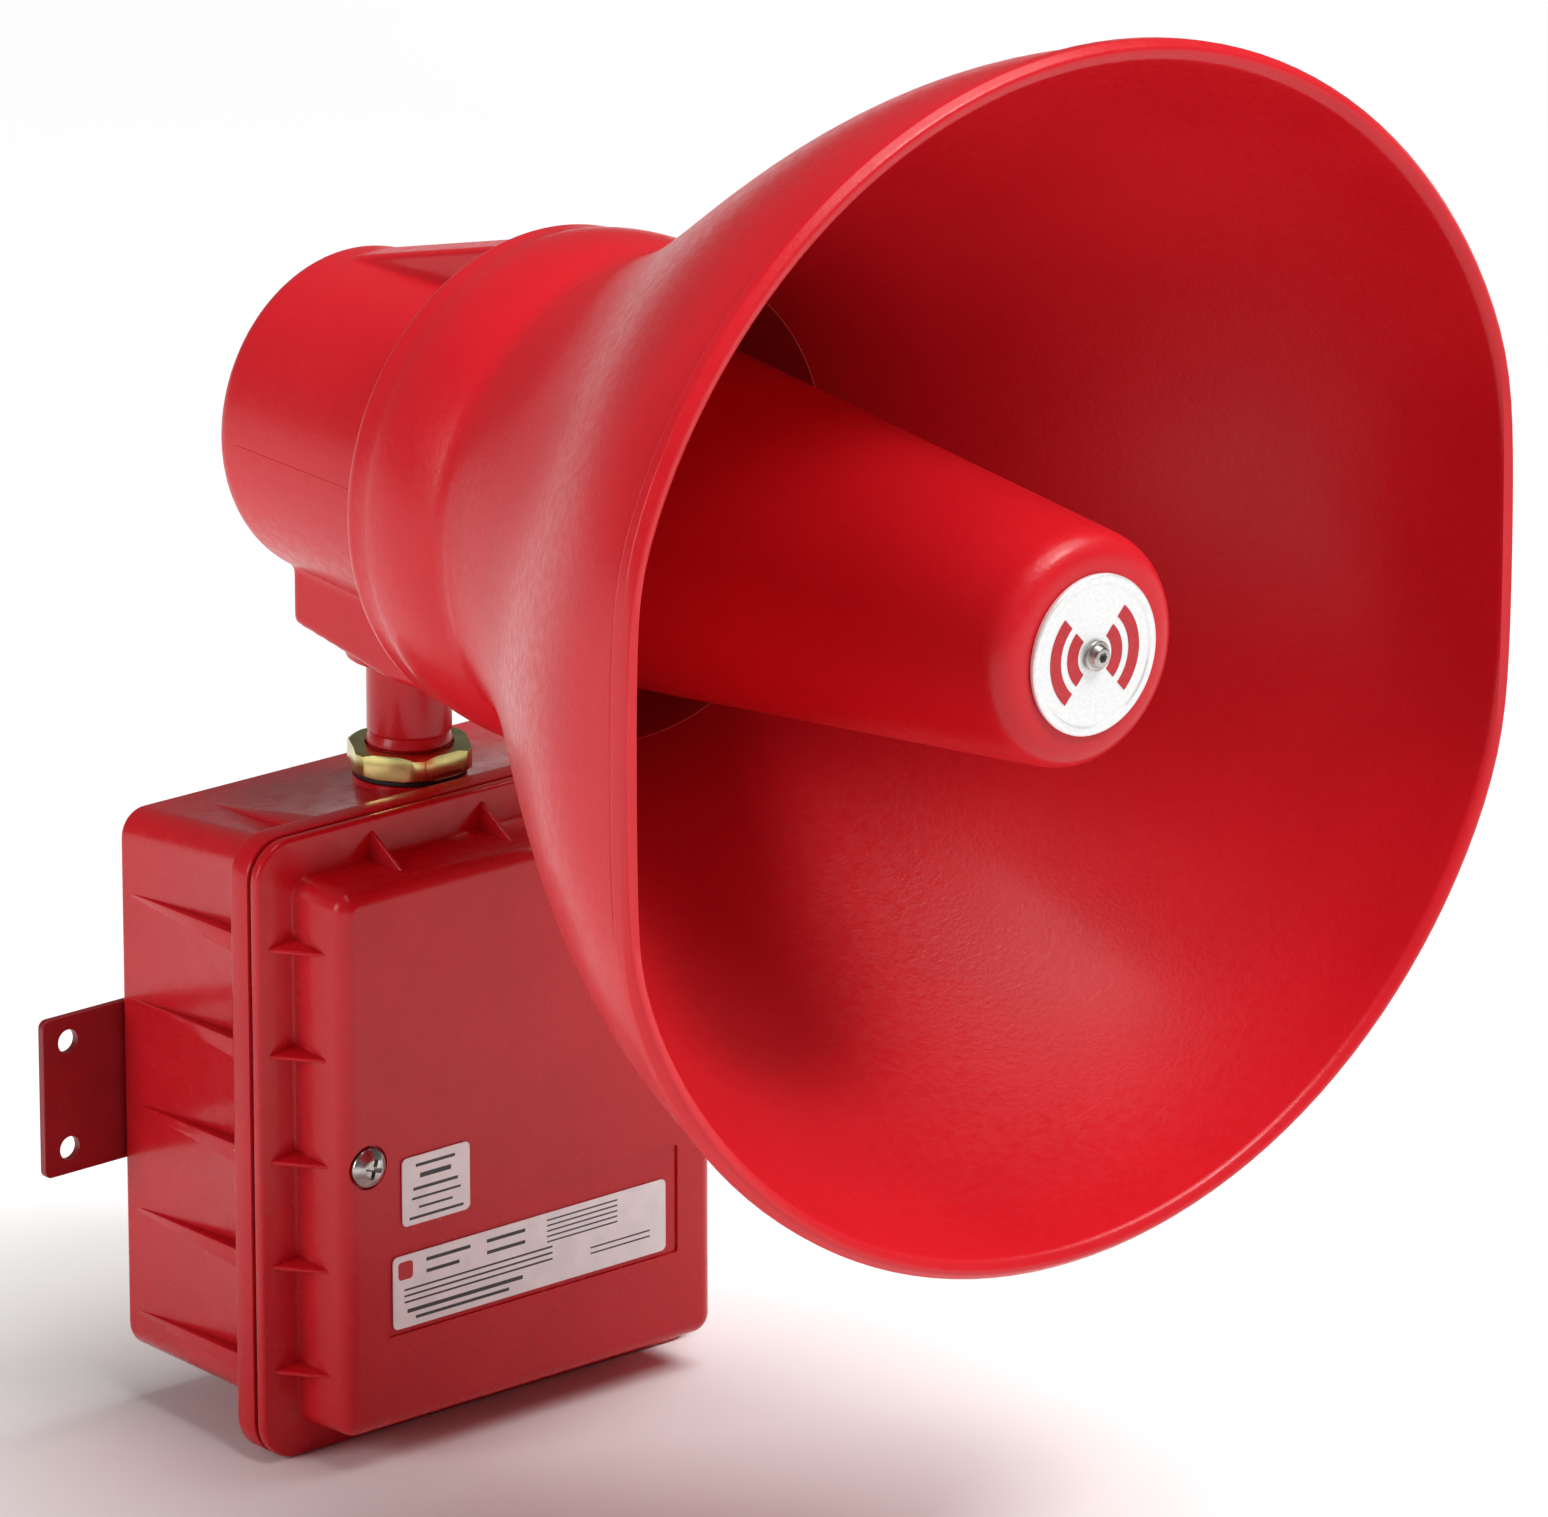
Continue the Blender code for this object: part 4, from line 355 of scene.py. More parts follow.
def solder_masked_board():
    """Epoxy glass under green solder mask: copper tracks show through it as paler lines."""
    finish = Finish("solder_masked_epoxy_glass", IOR=1.55)
    upright = add(finish.tree, "ShaderNodeMapping", {
        "Vector": finish.at, "Rotation": (pi / 2, 0, 0)}).outputs["Vector"]
    tracks = add(finish.tree, "ShaderNodeTexBrick", {
        "Vector": upright, "Color1": (0, 0, 0, 1), "Color2": (0, 0, 0, 1), "Mortar": (1, 1, 1, 1),
        "Scale": 1 / (9 * MM), "Mortar Size": 0.05, "Brick Width": 0.9, "Row Height": 0.35}).outputs["Color"]
    finish.colour(tracks, "#0F4A2C", "#2C7A49")
    finish.roughness(finish.clouds(5, 0.25, 0.35))
    finish.relief(tracks, 0.03)
    return finish.material


def stacked_laminations():
    """Varnished transformer laminations: 0.5 mm sheets of dark steel seen edge on."""
    finish = Finish("varnished_steel_laminations", Metallic=0.7)
    sheets = add(finish.tree, "ShaderNodeTexWave", {
        "Vector": finish.at, "Scale": pi / (10 * 0.5 * MM), "Distortion": 0.4,
    }, bands_direction="Y").outputs["Fac"]
    finish.colour(sheets, "#34302C", "#5C5750")
    finish.roughness(finish.clouds(3, 0.40, 0.55))
    finish.relief(sheets, 0.04)
    return finish.material


RED_POWDER = powder_coated_aluminium()
RED_ENAMEL = enamelled_die_casting()
RED_STRIP = painted_strip()
YELLOW_ZINC = plated("yellow_zinc_plated_steel", "#E6D48C", "#BDB676", 0.24, 9.0)
BRIGHT_ZINC = plated("bright_zinc_plated_steel", "#C9CBCC", "#A4A8AB", 0.30, 5.0)
STAINLESS = plated("passivated_stainless_steel", "#C4C0BB", "#9C9893", 0.24, 3.0)
DRIVER_STEEL = plated("nickel_plated_soft_iron", "#A9A8A3", "#8D8B86", 0.34, 6.0)
SPUN_ALUMINIUM = spun_aluminium()
LABEL_FILM = vinyl_label()
BLACK_INK = printing_ink("screen_printed_black_ink", "#2A2A2C", "#3A3A3D")
RED_INK = printing_ink("screen_printed_red_ink", "#B8141F", "#C4202B")
RUBBER = moulded("moulded_epdm_rubber", "#17181A", "#202123", 0.62)
GREY_PLASTIC = moulded("moulded_glass_filled_nylon", "#3A3D40", "#45484B", 0.48)
BLACK_PLASTIC = moulded("moulded_black_abs", "#141416", "#1D1D20", 0.36)
GREEN_PLASTIC = moulded("moulded_green_polyamide", "#1F6B45", "#277A50", 0.38)
CAPACITOR_CAN = plated("drawn_aluminium_can", "#CDD0D2", "#B4B8BB", 0.34, 7.0)
FERRITE = moulded("sintered_ferrite", "#2B2A2A", "#383634", 0.58, 0.8, 0.03)
FILM = moulded("formed_phenolic_cloth", "#9A6B35", "#AD7B40", 0.45, 0.6, 0.03)
COIL_TAPE = moulded("polyester_coil_tape", "#C9A436", "#D8B448", 0.30)
RED_LEAD = moulded("red_pvc_insulation", "#A8161B", "#B82025", 0.35)
BLACK_LEAD = moulded("black_pvc_insulation", "#151517", "#202022", 0.35)
BOARD = solder_masked_board()
LAMINATIONS = stacked_laminations()


# ---------------------------------------------------------------- mesh helpers

def loft(loops, bm=None, closed=False):
    """Join rings of points that have the same count. The ends are capped unless closed joins them."""
    bm = bm or bmesh.new()
    rings = [[bm.verts.new(point) for point in loop] for loop in loops]
    pairs = list(zip(rings, rings[1:] + rings[:1])) if closed else list(zip(rings, rings[1:]))
    count = len(rings[0])
    for low, high in pairs:
        for i in range(count):
            j = (i + 1) % count
            bm.faces.new((low[i], low[j], high[j], high[i]))
    if not closed:
        bm.faces.new(rings[0])
        bm.faces.new(rings[-1])
    return bm


def lathe(outline, upright=False, centre=None, around=AROUND, bm=None, closed=False, reshape=None):
    """Turn an outline of (along, radius) points, about the horn's axis or an upright one.
    reshape(point, along) moves a finished point."""
    bm = bm or bmesh.new()
    centre = Vector(centre if centre is not None else (AXIS_X, STEM_Y, HORN_Z))
    rings = []
    for along, radius in outline:
        turns = [2 * pi * step / around for step in range(around)]
        if upright:
            ring = [Vector((radius * cos(turn), radius * sin(turn), along)) for turn in turns]
        else:
            ring = [Vector((radius * cos(turn), -along, radius * sin(turn))) for turn in turns]
        if reshape:
            ring = [reshape(point, along) for point in ring]
        if radius < 1e-6:
            rings.append([bm.verts.new(ring[0] + centre)])
        else:
            rings.append([bm.verts.new(point + centre) for point in ring])
    pairs = list(zip(rings, rings[1:] + rings[:1])) if closed else list(zip(rings, rings[1:]))
    for low, high in pairs:
        for i in range(around):
            j = (i + 1) % around
            corner = [low[i % len(low)], low[j % len(low)], high[j % len(high)], high[i % len(high)]]
            corner = list(dict.fromkeys(corner))
            if len(corner) > 2:
                bm.faces.new(corner)
    return bm


def filleted(points, steps=6):
    """Round the corners of an open outline. Each point is (along, radius, size of its rounding)."""
    outline = []
    for index, (along, radius, rounding) in enumerate(points):
        corner = Vector((along, radius))
        if rounding == 0 or index in (0, len(points) - 1):
            outline.append((along, radius))
            continue
        before = Vector(points[index - 1][:2]) - corner
        after = Vector(points[index + 1][:2]) - corner
        reach = min(rounding / tan(before.angle(after) / 2), before.length * 0.49, after.length * 0.49)
        start = corner + before.normalized() * reach
        end = corner + after.normalized() * reach
        for step in range(steps + 1):
            share = step / steps
            point = start.lerp(corner, share).lerp(corner.lerp(end, share), share)
            outline.append((point.x, point.y))
    return outline


def rounded_loop(y, half, low, high, radius, steps=10, middle=0.0):
    """A rounded rectangle in an upright plane at y, seen from the front."""
    centres = ((half - radius, high - radius, 0), (radius - half, high - radius, 90),
               (radius - half, low + radius, 180), (half - radius, low + radius, 270))
    loop = []
    for x, z, turn in centres:
        for step in range(steps + 1):
            angle = radians(turn + 90 * step / steps)
            loop.append(Vector((middle + x + radius * cos(angle), y, z + radius * sin(angle))))
    return loop


def block(low, high, bm=None):
    """A box between two corners."""
    bm = bm or bmesh.new()
    loops = [[Vector((low[0], y, low[2])), Vector((high[0], y, low[2])),
              Vector((high[0], y, high[2])), Vector((low[0], y, high[2]))] for y in (low[1], high[1])]
    return loft(loops, bm)


def wedge(bm, points, edge):
    """The convex solid round some points, its edges rounded, added to bm."""
    solid = bmesh.new()
    for point in points:
        solid.verts.new(point)
    bmesh.ops.convex_hull(solid, input=solid.verts)
    flat = [e for e in solid.edges if len(e.link_faces) == 2 and e.calc_face_angle(0.0) < radians(2)]
    bmesh.ops.dissolve_edges(solid, edges=flat, use_verts=False)
    bmesh.ops.bevel(solid, geom=solid.edges[:], offset=edge, segments=3, profile=0.5, affect="EDGES",
                    clamp_overlap=True)
    mesh = bpy.data.meshes.new("wedge")
    solid.to_mesh(mesh)
    solid.free()
    bm.from_mesh(mesh)
    bpy.data.meshes.remove(mesh)


def make(name, bm):
    """A new object, in metres, from a mesh in millimetres."""
    bmesh.ops.recalc_face_normals(bm, faces=bm.faces)
    bmesh.ops.scale(bm, vec=(MM, MM, MM), verts=bm.verts)
    mesh = bpy.data.meshes.new(name)
    bm.to_mesh(mesh)
    bm.free()
    piece = bpy.data.objects.new(name, mesh)
    bpy.context.scene.collection.objects.link(piece)
    return piece


def settle(piece):
    """Turn a piece's modifiers into its own mesh."""
    view = bpy.context.evaluated_depsgraph_get()
    mesh = bpy.data.meshes.new_from_object(piece.evaluated_get(view))
    piece.modifiers.clear()
    piece.data = mesh


def combine(piece, tool, operation):
    """Cut a tool from a piece, or join the two, and remove the tool."""
    step = piece.modifiers.new("tool", "BOOLEAN")
    step.object = tool
    step.operation = operation
    step.solver = "EXACT"
    settle(piece)
    bpy.data.objects.remove(tool, do_unlink=True)


def dress(piece, material, body, *nodes, sharp=32):
    """Finish a piece: smooth shading, material, the body it rides on and the nodes it stands for."""
    piece.data.shade_smooth()
    piece.data.set_sharp_from_angle(angle=radians(sharp))
    piece.data.materials.clear()
    piece.data.materials.append(material)
    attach(piece, body)
    if nodes:
        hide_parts(*nodes)
    return piece


# ---------------------------------------------------------------- bell

def flare_point(share):
    """(ahead, radius, slope) outside the flare: shallow at the crease, steep, then nearly level."""
    length = MOUTH_AHEAD - BEAD_WIDTH - CREASE_AHEAD
    foot = MOUTH_RADIUS - BEAD_HEIGHT
    square = share * share
    cube = square * share
    radius = (2 * cube - 3 * square + 1) * CREASE_RADIUS + (3 * square - 2 * cube) * foot
    radius += length * ((cube - 2 * square + share) * CREASE_SLOPE + (cube - square) * MOUTH_SLOPE)
    slope = 6 * (share - square) * (foot - CREASE_RADIUS) / length
    slope += (3 * square - 4 * share + 1) * CREASE_SLOPE + (3 * square - 2 * share) * MOUTH_SLOPE
    return CREASE_AHEAD + length * share, radius, slope


def mouth_shape(limit):
    """How the flare departs from a turned shape: flat sides with soft corners, and a lowered mouth."""
    def reshape(point, along):
        if along <= CREASE_AHEAD:
            return point
        reach = abs(point.x)
        eased = 0.5 * (reach + limit - sqrt((reach - limit) ** 2 + FLAT_BLEND ** 2))
        eased += 0.5 * (sqrt(limit ** 2 + FLAT_BLEND ** 2) - limit)
        point.x = eased if point.x > 0 else -eased
        share = (along - CREASE_AHEAD) / (MOUTH_AHEAD - BEAD_WIDTH - CREASE_AHEAD)
        point.z -= MOUTH_DROP * min(1.0, share)
        return point
    return reshape


def bell():
    steps = 40
    drum_start = BELL_REAR + 7.0
    plate = BELL_REAR + BELL_PLATE
    outside = filleted([(BELL_REAR, HUB_RADIUS, 0), (BELL_REAR, SHOULDER_RADIUS, 7.0),
                        (drum_start + 1, SHOULDER_RADIUS, 0)], 10)
    for step in range(1, 10):
        share = step / 10
        straight = SHOULDER_RADIUS + (CREASE_RADIUS - SHOULDER_RADIUS) * share
        outside.append((drum_start + (CREASE_AHEAD - drum_start) * share,
                        straight + 4 * DRUM_BULGE * share * (1 - share)))
    flare = [flare_point(step / steps) for step in range(steps + 1)]
    outside += [(ahead, radius) for ahead, radius, slope in flare[:-1]]
    groove, foot, slope = flare[-1]
    rim = filleted([
        (groove - 1.0, foot - slope, 0), (groove, foot, 0.3), (groove + 0.25, foot - 0.55, 0.25),
        (groove + 0.8, foot - 0.55, 0.25), (groove + 0.9, MOUTH_RADIUS - 0.3, 0.9),
        (MOUTH_AHEAD - 2.4, MOUTH_RADIUS, 1.0), (MOUTH_AHEAD, MOUTH_RADIUS - 1.8, 1.6),
    ] + [(MOUTH_AHEAD - 1.3, MOUTH_RADIUS - 4.9, 2.0),
         (groove - 1.5, foot - BELL_WALL - 0.3, 0)], 5)
    inside = []
    for ahead, radius, slope in reversed(flare[:-2]):
        stretch = sqrt(1 + slope * slope)
        inside.append((ahead + BELL_WALL * slope / stretch, radius - BELL_WALL / stretch))
    inside += filleted([(CREASE_AHEAD + 1.0, CREASE_RADIUS - BELL_WALL, 0),
                        (plate + 20, SHOULDER_RADIUS + DRUM_BULGE - BELL_WALL - 0.6, 15),
                        (plate, SHOULDER_RADIUS - BELL_WALL, 5.0), (plate, HUB_RADIUS, 0)], 8)
    bm = bmesh.new()
    outer_count = len(outside) + len(rim)
    outline = outside + rim + inside
    for_outside, for_inside = mouth_shape(FLAT_HALF_WIDTH), mouth_shape(FLAT_HALF_WIDTH - BELL_WALL)
    rings = []
    for index, (ahead, radius) in enumerate(outline):
        reshape = for_outside if index < outer_count - 8 else for_inside
        ring = []
        for step in range(AROUND):
            turn = 2 * pi * step / AROUND
            point = reshape(Vector((radius * cos(turn), -ahead, radius * sin(turn))), ahead)
            ring.append(point + Vector((AXIS_X, STEM_Y, HORN_Z)))
        rings.append(ring)
    casting = make("bell_casting", loft(rings, bm, closed=True))
    return dress(casting, RED_POWDER, "horn_head", "horn_bell", sharp=40)


# ---------------------------------------------------------------- driver casting

def housing_radius(ahead):
    share = (ahead - HOUSING_REAR) / (HOUSING_FRONT - HOUSING_REAR)
    return HOUSING_REAR_RADIUS + (HOUSING_FRONT_RADIUS - HOUSING_REAR_RADIUS) * share


def head_point(x, ahead, z):
    """A point given from the horn's own axes."""
    return Vector((AXIS_X + x, STEM_Y - ahead, HORN_Z + z))


def driver_casting():
    collar_rear = HOUSING_FRONT - COLLAR_THICKNESS
    body = make("driver_casting", lathe(filleted([
        (HOUSING_REAR, 0, 0), (HOUSING_REAR, HOUSING_REAR_RADIUS, 5.0),
        (collar_rear, housing_radius(collar_rear), 1.0), (collar_rear, COLLAR_RADIUS, 0.9),
        (HOUSING_FRONT, COLLAR_RADIUS, 0.5), (HOUSING_FRONT, 0, 0),
    ])))
    rib = bmesh.new()
    side_view = ((-12.0, 36.0), (-12.0, 41.2), (HOUSING_FRONT - 0.2, 56.3), (HOUSING_FRONT - 0.2, 40.0))
    wedge(rib, [head_point(x, ahead, z) for x in (-SPINE_HALF, SPINE_HALF) for ahead, z in side_view], 1.2)
    side_view = ((-20.0, -30.0), (-20.0, -49.9), (15.5, -56.0), (collar_rear + 1, -56.0),
                 (collar_rear + 1, -30.0))
    wedge(rib, [head_point(x, ahead, z) for x in (-FOOT_HALF, FOOT_HALF) for ahead, z in side_view], 1.4)
    lathe(filleted([(BOSS_LOW, 0, 0), (BOSS_LOW, BOSS_RADIUS, 1.4), (BOSS_TOP, BOSS_RADIUS, 0),
                    (BOSS_TOP, 0, 0)]), upright=True, around=96, bm=rib)
    combine(body, make("casting_ribs", rib), "UNION")
    remesh = body.modifiers.new("cast_skin", "REMESH")
    remesh.mode = "VOXEL"
    remesh.voxel_size = CAST_GRAIN * MM
    smooth = body.modifiers.new("cast_fillets", "SMOOTH")
    smooth.iterations = 6
    smooth.factor = 0.5
    settle(body)
    floor = HOUSING_REAR + HOUSING_WALL
    hollow = lathe([(floor, 0), (floor, housing_radius(floor) - HOUSING_WALL - 2),
                    (floor + 2, housing_radius(floor) - HOUSING_WALL),
                    (HOUSING_FRONT + 1, HOUSING_FRONT_RADIUS - HOUSING_WALL), (HOUSING_FRONT + 1, 0)])
    combine(body, make("hollow", hollow), "DIFFERENCE")
    bore = lathe([(-60.0, 0), (-60.0, STEM_BORE), (-43.0, STEM_BORE), (-43.0, 0)], upright=True, around=64)
    combine(body, make("bore", bore), "DIFFERENCE")
    return dress(body, RED_POWDER, "horn_head", "driver_housing", sharp=45)


def casting_seam():
    """The parting line left along both sides of the driver casting."""
    bm = bmesh.new()
    for side in (-1, 1):
        points = []
        for ahead in (HOUSING_REAR + 9, HOUSING_FRONT - COLLAR_THICKNESS - 9):
            wall = housing_radius(ahead)
            for z in (-0.45, 0.45):
                points.append(head_point(side * (wall - 0.6), ahead, z))
            points.append(head_point(side * (wall + 0.12), ahead, 0))
        wedge(bm, points, 0.05)
    return dress(make("casting_seam", bm), RED_POWDER, "horn_head")


# ---------------------------------------------------------------- bullet and badge

def bullet():
    wall = BULLET_WALL
    slope = (BULLET_REAR_RADIUS - BULLET_FRONT_RADIUS) / (BULLET_FRONT - BULLET_NOSE - BULLET_REAR)
    tip_radius = BULLET_FRONT_RADIUS - slope * BULLET_NOSE
    outline = filleted([
        (BULLET_REAR, BULLET_REAR_RADIUS - wall, 0), (BULLET_REAR, BULLET_REAR_RADIUS, 1.0),
        (BULLET_FRONT, tip_radius, 8.0), (BULLET_FRONT, 2.4, 0),
    ], 14)
    outline += [(BULLET_FRONT - wall, 2.4), (BULLET_FRONT - wall, 17.0),
                (BULLET_FRONT - BULLET_NOSE, BULLET_FRONT_RADIUS - wall)]
    casting = make("bullet_casting", lathe(outline, closed=True))
    return dress(casting, RED_POWDER, "horn_head", "reflector_cone", sharp=40)


def badge():
    rear, front = ahead_range("badge_disc")
    low, high = corners("badge_disc")
    radius = (high.x - low.x) / 2
    face = front - 0.35
    outline = filleted([(rear, 2.3, 0), (rear, radius, 0), (face, radius, 0.3), (front, radius - 0.5, 0.3),
                        (front, radius - 1.9, 0.3), (face, radius - 2.4, 0.3), (face, 2.3, 0)], 4)
    plate = make("badge_plate", lathe(outline, closed=True))
    dress(plate, SPUN_ALUMINIUM, "horn_head", "badge_disc", sharp=30)
    bm = bmesh.new()
    for side in (-1, 1):
        for inner, outer in EMBLEM_ARCS:
            arc = [radians(-48 + 96 * step / 24) for step in range(25)]
            loops = []
            for ahead in (face - 0.05, face + 0.14):
                path = [(outer * cos(turn), outer * sin(turn)) for turn in arc]
                path += [(inner * cos(turn), inner * sin(turn)) for turn in reversed(arc)]
                loops.append([head_point(side * x, ahead, z) for x, z in path])
            loft(loops, bm)
    return dress(make("badge_emblem", bm), RED_INK, "horn_head")


def badge_screw():
    rear, front = ahead_range("badge_screw")
    head = front - 2.2
    outline = filleted([(rear, 0, 0), (rear, 2.0, 0.3), (head, 2.0, 0), (head, 3.6, 0.2),
                        (head + 0.6, 3.6, 0.2), (head + 0.6, 2.7, 0.05), (front, 2.3, 0.6), (front, 0, 0)], 5)
    screw = make("badge_screw_steel", lathe(outline, around=SMALL_AROUND))
    socket = bmesh.new()
    hexagon = [(1.25 * cos(radians(60 * i)), 1.25 * sin(radians(60 * i))) for i in range(6)]
    loft([[head_point(x, ahead, z) for x, z in hexagon] for ahead in (front - 1.2, front + 1)], socket)
    combine(screw, make("socket", socket), "DIFFERENCE")
    return dress(screw, STAINLESS, "horn_head", "badge_screw")


# ---------------------------------------------------------------- stem and locknut

def stem():
    low, high = corners("stem_pipe")
    radius = (high.x - low.x) / 2
    thread_end = corners("locknut")[1].z + 2.6
    root = radius - THREAD_DEPTH
    outline = [(low.z, PIPE_BORE), (low.z, radius - 0.8)]
    turns = int((thread_end - low.z) / THREAD_PITCH)
    for turn in range(turns):
        foot = low.z + 0.4 + turn * THREAD_PITCH
        outline += [(foot, root), (foot + THREAD_PITCH * 0.38, radius), (foot + THREAD_PITCH * 0.55, radius)]
    outline += filleted([(thread_end + 0.2, root, 0), (thread_end + 0.9, radius - 0.25, 0.4),
                         (high.z, radius - 0.25, 0.3), (high.z, PIPE_BORE, 0)])
    pipe = lathe(outline, upright=True, centre=(AXIS_X, STEM_Y, 0), around=80, closed=True)
    return dress(make("stem_thread_and_pipe", pipe), RED_ENAMEL, "horn_head", "stem_pipe", sharp=50)


def locknut():
    low, high = corners("locknut")
    flats = (high.y - low.y) / 2
    corner = (high.x - low.x) / 2
    reach = flats / cos(radians(30))
    hexagon = [(reach * cos(radians(60 * i)), reach * sin(radians(60 * i))) for i in range(6)]
    bm = bmesh.new()
    loft([[Vector((AXIS_X + x, STEM_Y + y, z)) for x, y in hexagon] for z in (low.z, high.z)], bm)
    nut = make("locknut_hexagon", bm)
    chamfer = 0.7
    shoulder = flats + 0.35
    turned = [(low.z - 0.01, NUT_BORE), (low.z - 0.01, shoulder), (low.z + chamfer, corner),
              (high.z - chamfer, corner), (high.z + 0.01, shoulder), (high.z + 0.01, NUT_BORE)]
    ring = make("ring", lathe(turned, upright=True, centre=(AXIS_X, STEM_Y, 0), around=96, closed=True))
    combine(nut, ring, "INTERSECT")
    soften = nut.modifiers.new("worn_edges", "BEVEL")
    soften.width = 0.25 * MM
    soften.segments = 2
    soften.limit_method = "ANGLE"
    settle(nut)
    return dress(nut, YELLOW_ZINC, "locknut", "locknut")


def washer():
    low, high = corners("stem_washer")
    outer = (high.x - low.x) / 2
    outline = filleted([(low.z, WASHER_BORE, 0), (low.z, outer, 0.3), (high.z, outer, 0.3),
                        (high.z, WASHER_BORE, 0)], 3)
    ring = lathe(outline, upright=True, centre=(AXIS_X, STEM_Y, 0), around=96, closed=True)
    return dress(make("sealing_washer", ring), RUBBER, "enclosure", "stem_washer")


# ---------------------------------------------------------------- control box

def body_loop(y, inset, radius):
    """The box's outside at y, lower towards the rear by its draft."""
    towards_rear = max(0.0, (y - FLANGE_REAR_Y) / (BOX_REAR_Y - FLANGE_REAR_Y))
    return rounded_loop(y, BOX_HALF - inset, BOX_BOTTOM + BOX_BOTTOM_DRAFT * towards_rear + inset,
                        BOX_TOP - BOX_TOP_DRAFT * towards_rear - inset, radius)


def flange_loop(y, inset=0.0):
    return rounded_loop(y, FLANGE_HALF - inset, BOX_LOW.z + inset, BOX_HIGH.z - inset, FLANGE_CORNER - inset)


def control_box():
    loops = []
    for step in range(11):
        angle = pi / 2 * step / 10
        inset = REAR_FILLET * (1 - sin(angle))
        loops.append(body_loop(BOX_REAR_Y - REAR_FILLET * (1 - cos(angle)), inset, BOX_CORNER - inset))
    edge = FLANGE_EDGE
    loops += [body_loop(FLANGE_REAR_Y + 0.8, 0, BOX_CORNER),
              body_loop(FLANGE_REAR_Y + 0.2, -0.2, BOX_CORNER + 0.2),
              body_loop(FLANGE_REAR_Y, -0.8, BOX_CORNER + 0.8)]
    loops += [flange_loop(FLANGE_REAR_Y - edge * (1 - cos(turn)), edge * (1 - sin(turn)))
              for turn in (pi / 2 * step / 4 for step in range(5))]
    loops += [flange_loop(BOX_FRONT_Y + 0.5), flange_loop(BOX_FRONT_Y + 0.15, 0.12),
              flange_loop(BOX_FRONT_Y, 0.5)]
    cavity = BOX_CORNER - BOX_WALL
    floor = BOX_REAR_Y - BOX_WALL
    loops += [body_loop(BOX_FRONT_Y, BOX_WALL, cavity), body_loop(floor - 2, BOX_WALL, cavity),
              body_loop(floor - 0.5, BOX_WALL + 0.5, cavity - 0.5),
              body_loop(floor, BOX_WALL + 2, cavity - 2)]
    bm = loft(loops)
    box_ribs(bm)
    for foot, face in ((BOX_TOP - 2.6, BOX_TOP), (BOX_BOTTOM + 1.8, BOX_BOTTOM)):
        pad = [(foot, WASHER_BORE), (foot, PAD_RADIUS), (face, PAD_RADIUS), (face, WASHER_BORE)]
        lathe(pad, upright=True, centre=(AXIS_X, STEM_Y, 0), around=SMALL_AROUND, bm=bm, closed=True)
    root = BOX_REAR_Y - 1.5
    reach = root - (COVER_FRONT_Y + COVER_WALL + 0.3)
    post = filleted([(0, 0, 0), (0, 4.4, 0), (reach, 4.4, 0.4), (reach, 2.7, 0.2), (30.0, 2.7, 0),
                     (30.0, 0, 0)], 3)
    for x in (-SCREW_SPACING / 2, SCREW_SPACING / 2):
        lathe(post, centre=(x, root, SCREW_Z), around=SMALL_AROUND, bm=bm)
    reach = root - corners("circuit_board")[1].y - 0.3
    standoff = filleted([(0, 0, 0), (0, 3.5, 0), (reach, 3.5, 0.4), (reach, 1.8, 0.2), (2.0, 1.8, 0),
                         (2.0, 0, 0)], 3)
    for number in range(1, 5):
        low, high = corners(f"board_screw_{number}")
        centre = ((low.x + high.x) / 2, root, (low.z + high.z) / 2)
        lathe(standoff, centre=centre, around=SMALL_AROUND, bm=bm)
    return dress(make("control_box_casting", bm), RED_ENAMEL, "enclosure", "enclosure_box")


def box_ribs(bm):
    first = RIB_CENTRE_Z - RIB_PITCH * (RIB_COUNT - 1) / 2
    start = BOX_REAR_Y - SIDE_RIB_START
    for side in (-1, 1):
        for index in range(RIB_COUNT):
            z = first + index * RIB_PITCH
            points = []
            for y, reach, foot, width in (
                (start, BOX_HALF - 0.2, BOX_HALF - 1.8, SIDE_RIB_THIN),
                (FLANGE_REAR_Y - 0.5, FLANGE_HALF - 0.6, BOX_HALF - 1.8, SIDE_RIB_THICK),
            ):
                points += [Vector((side * x, y, z + half)) for x in (foot, reach)
                           for half in (-width / 2, width / 2)]
            wedge(bm, points, 0.35)
    for x in (-TOP_RIB_X, TOP_RIB_X):
        points = []
        for y, surface, rise, width in ((BOX_REAR_Y - 14, BOX_TOP - BOX_TOP_DRAFT * 0.75, 0.2, SIDE_RIB_THIN),
                                        (FLANGE_REAR_Y - 0.5, BOX_TOP, 1.5, TOP_RIB_WIDTH)):
            points += [Vector((x + half, y, z)) for z in (surface - 1.8, surface + rise)
                       for half in (-width / 2, width / 2)]
        wedge(bm, points, 0.35)


# ---------------------------------------------------------------- cover

def pan_loop(y, inset, radius):
    """The raised pan, narrower towards its front by its draft."""
    towards_front = max(0.0, (COVER_FLANGE_Y - y) / (COVER_FLANGE_Y - COVER_FRONT_Y))
    shrink = PAN_DRAFT * towards_front + inset
    return rounded_loop(y, PAN_HALF - shrink, PAN_BOTTOM + shrink, PAN_TOP - shrink, max(radius, 0.4))


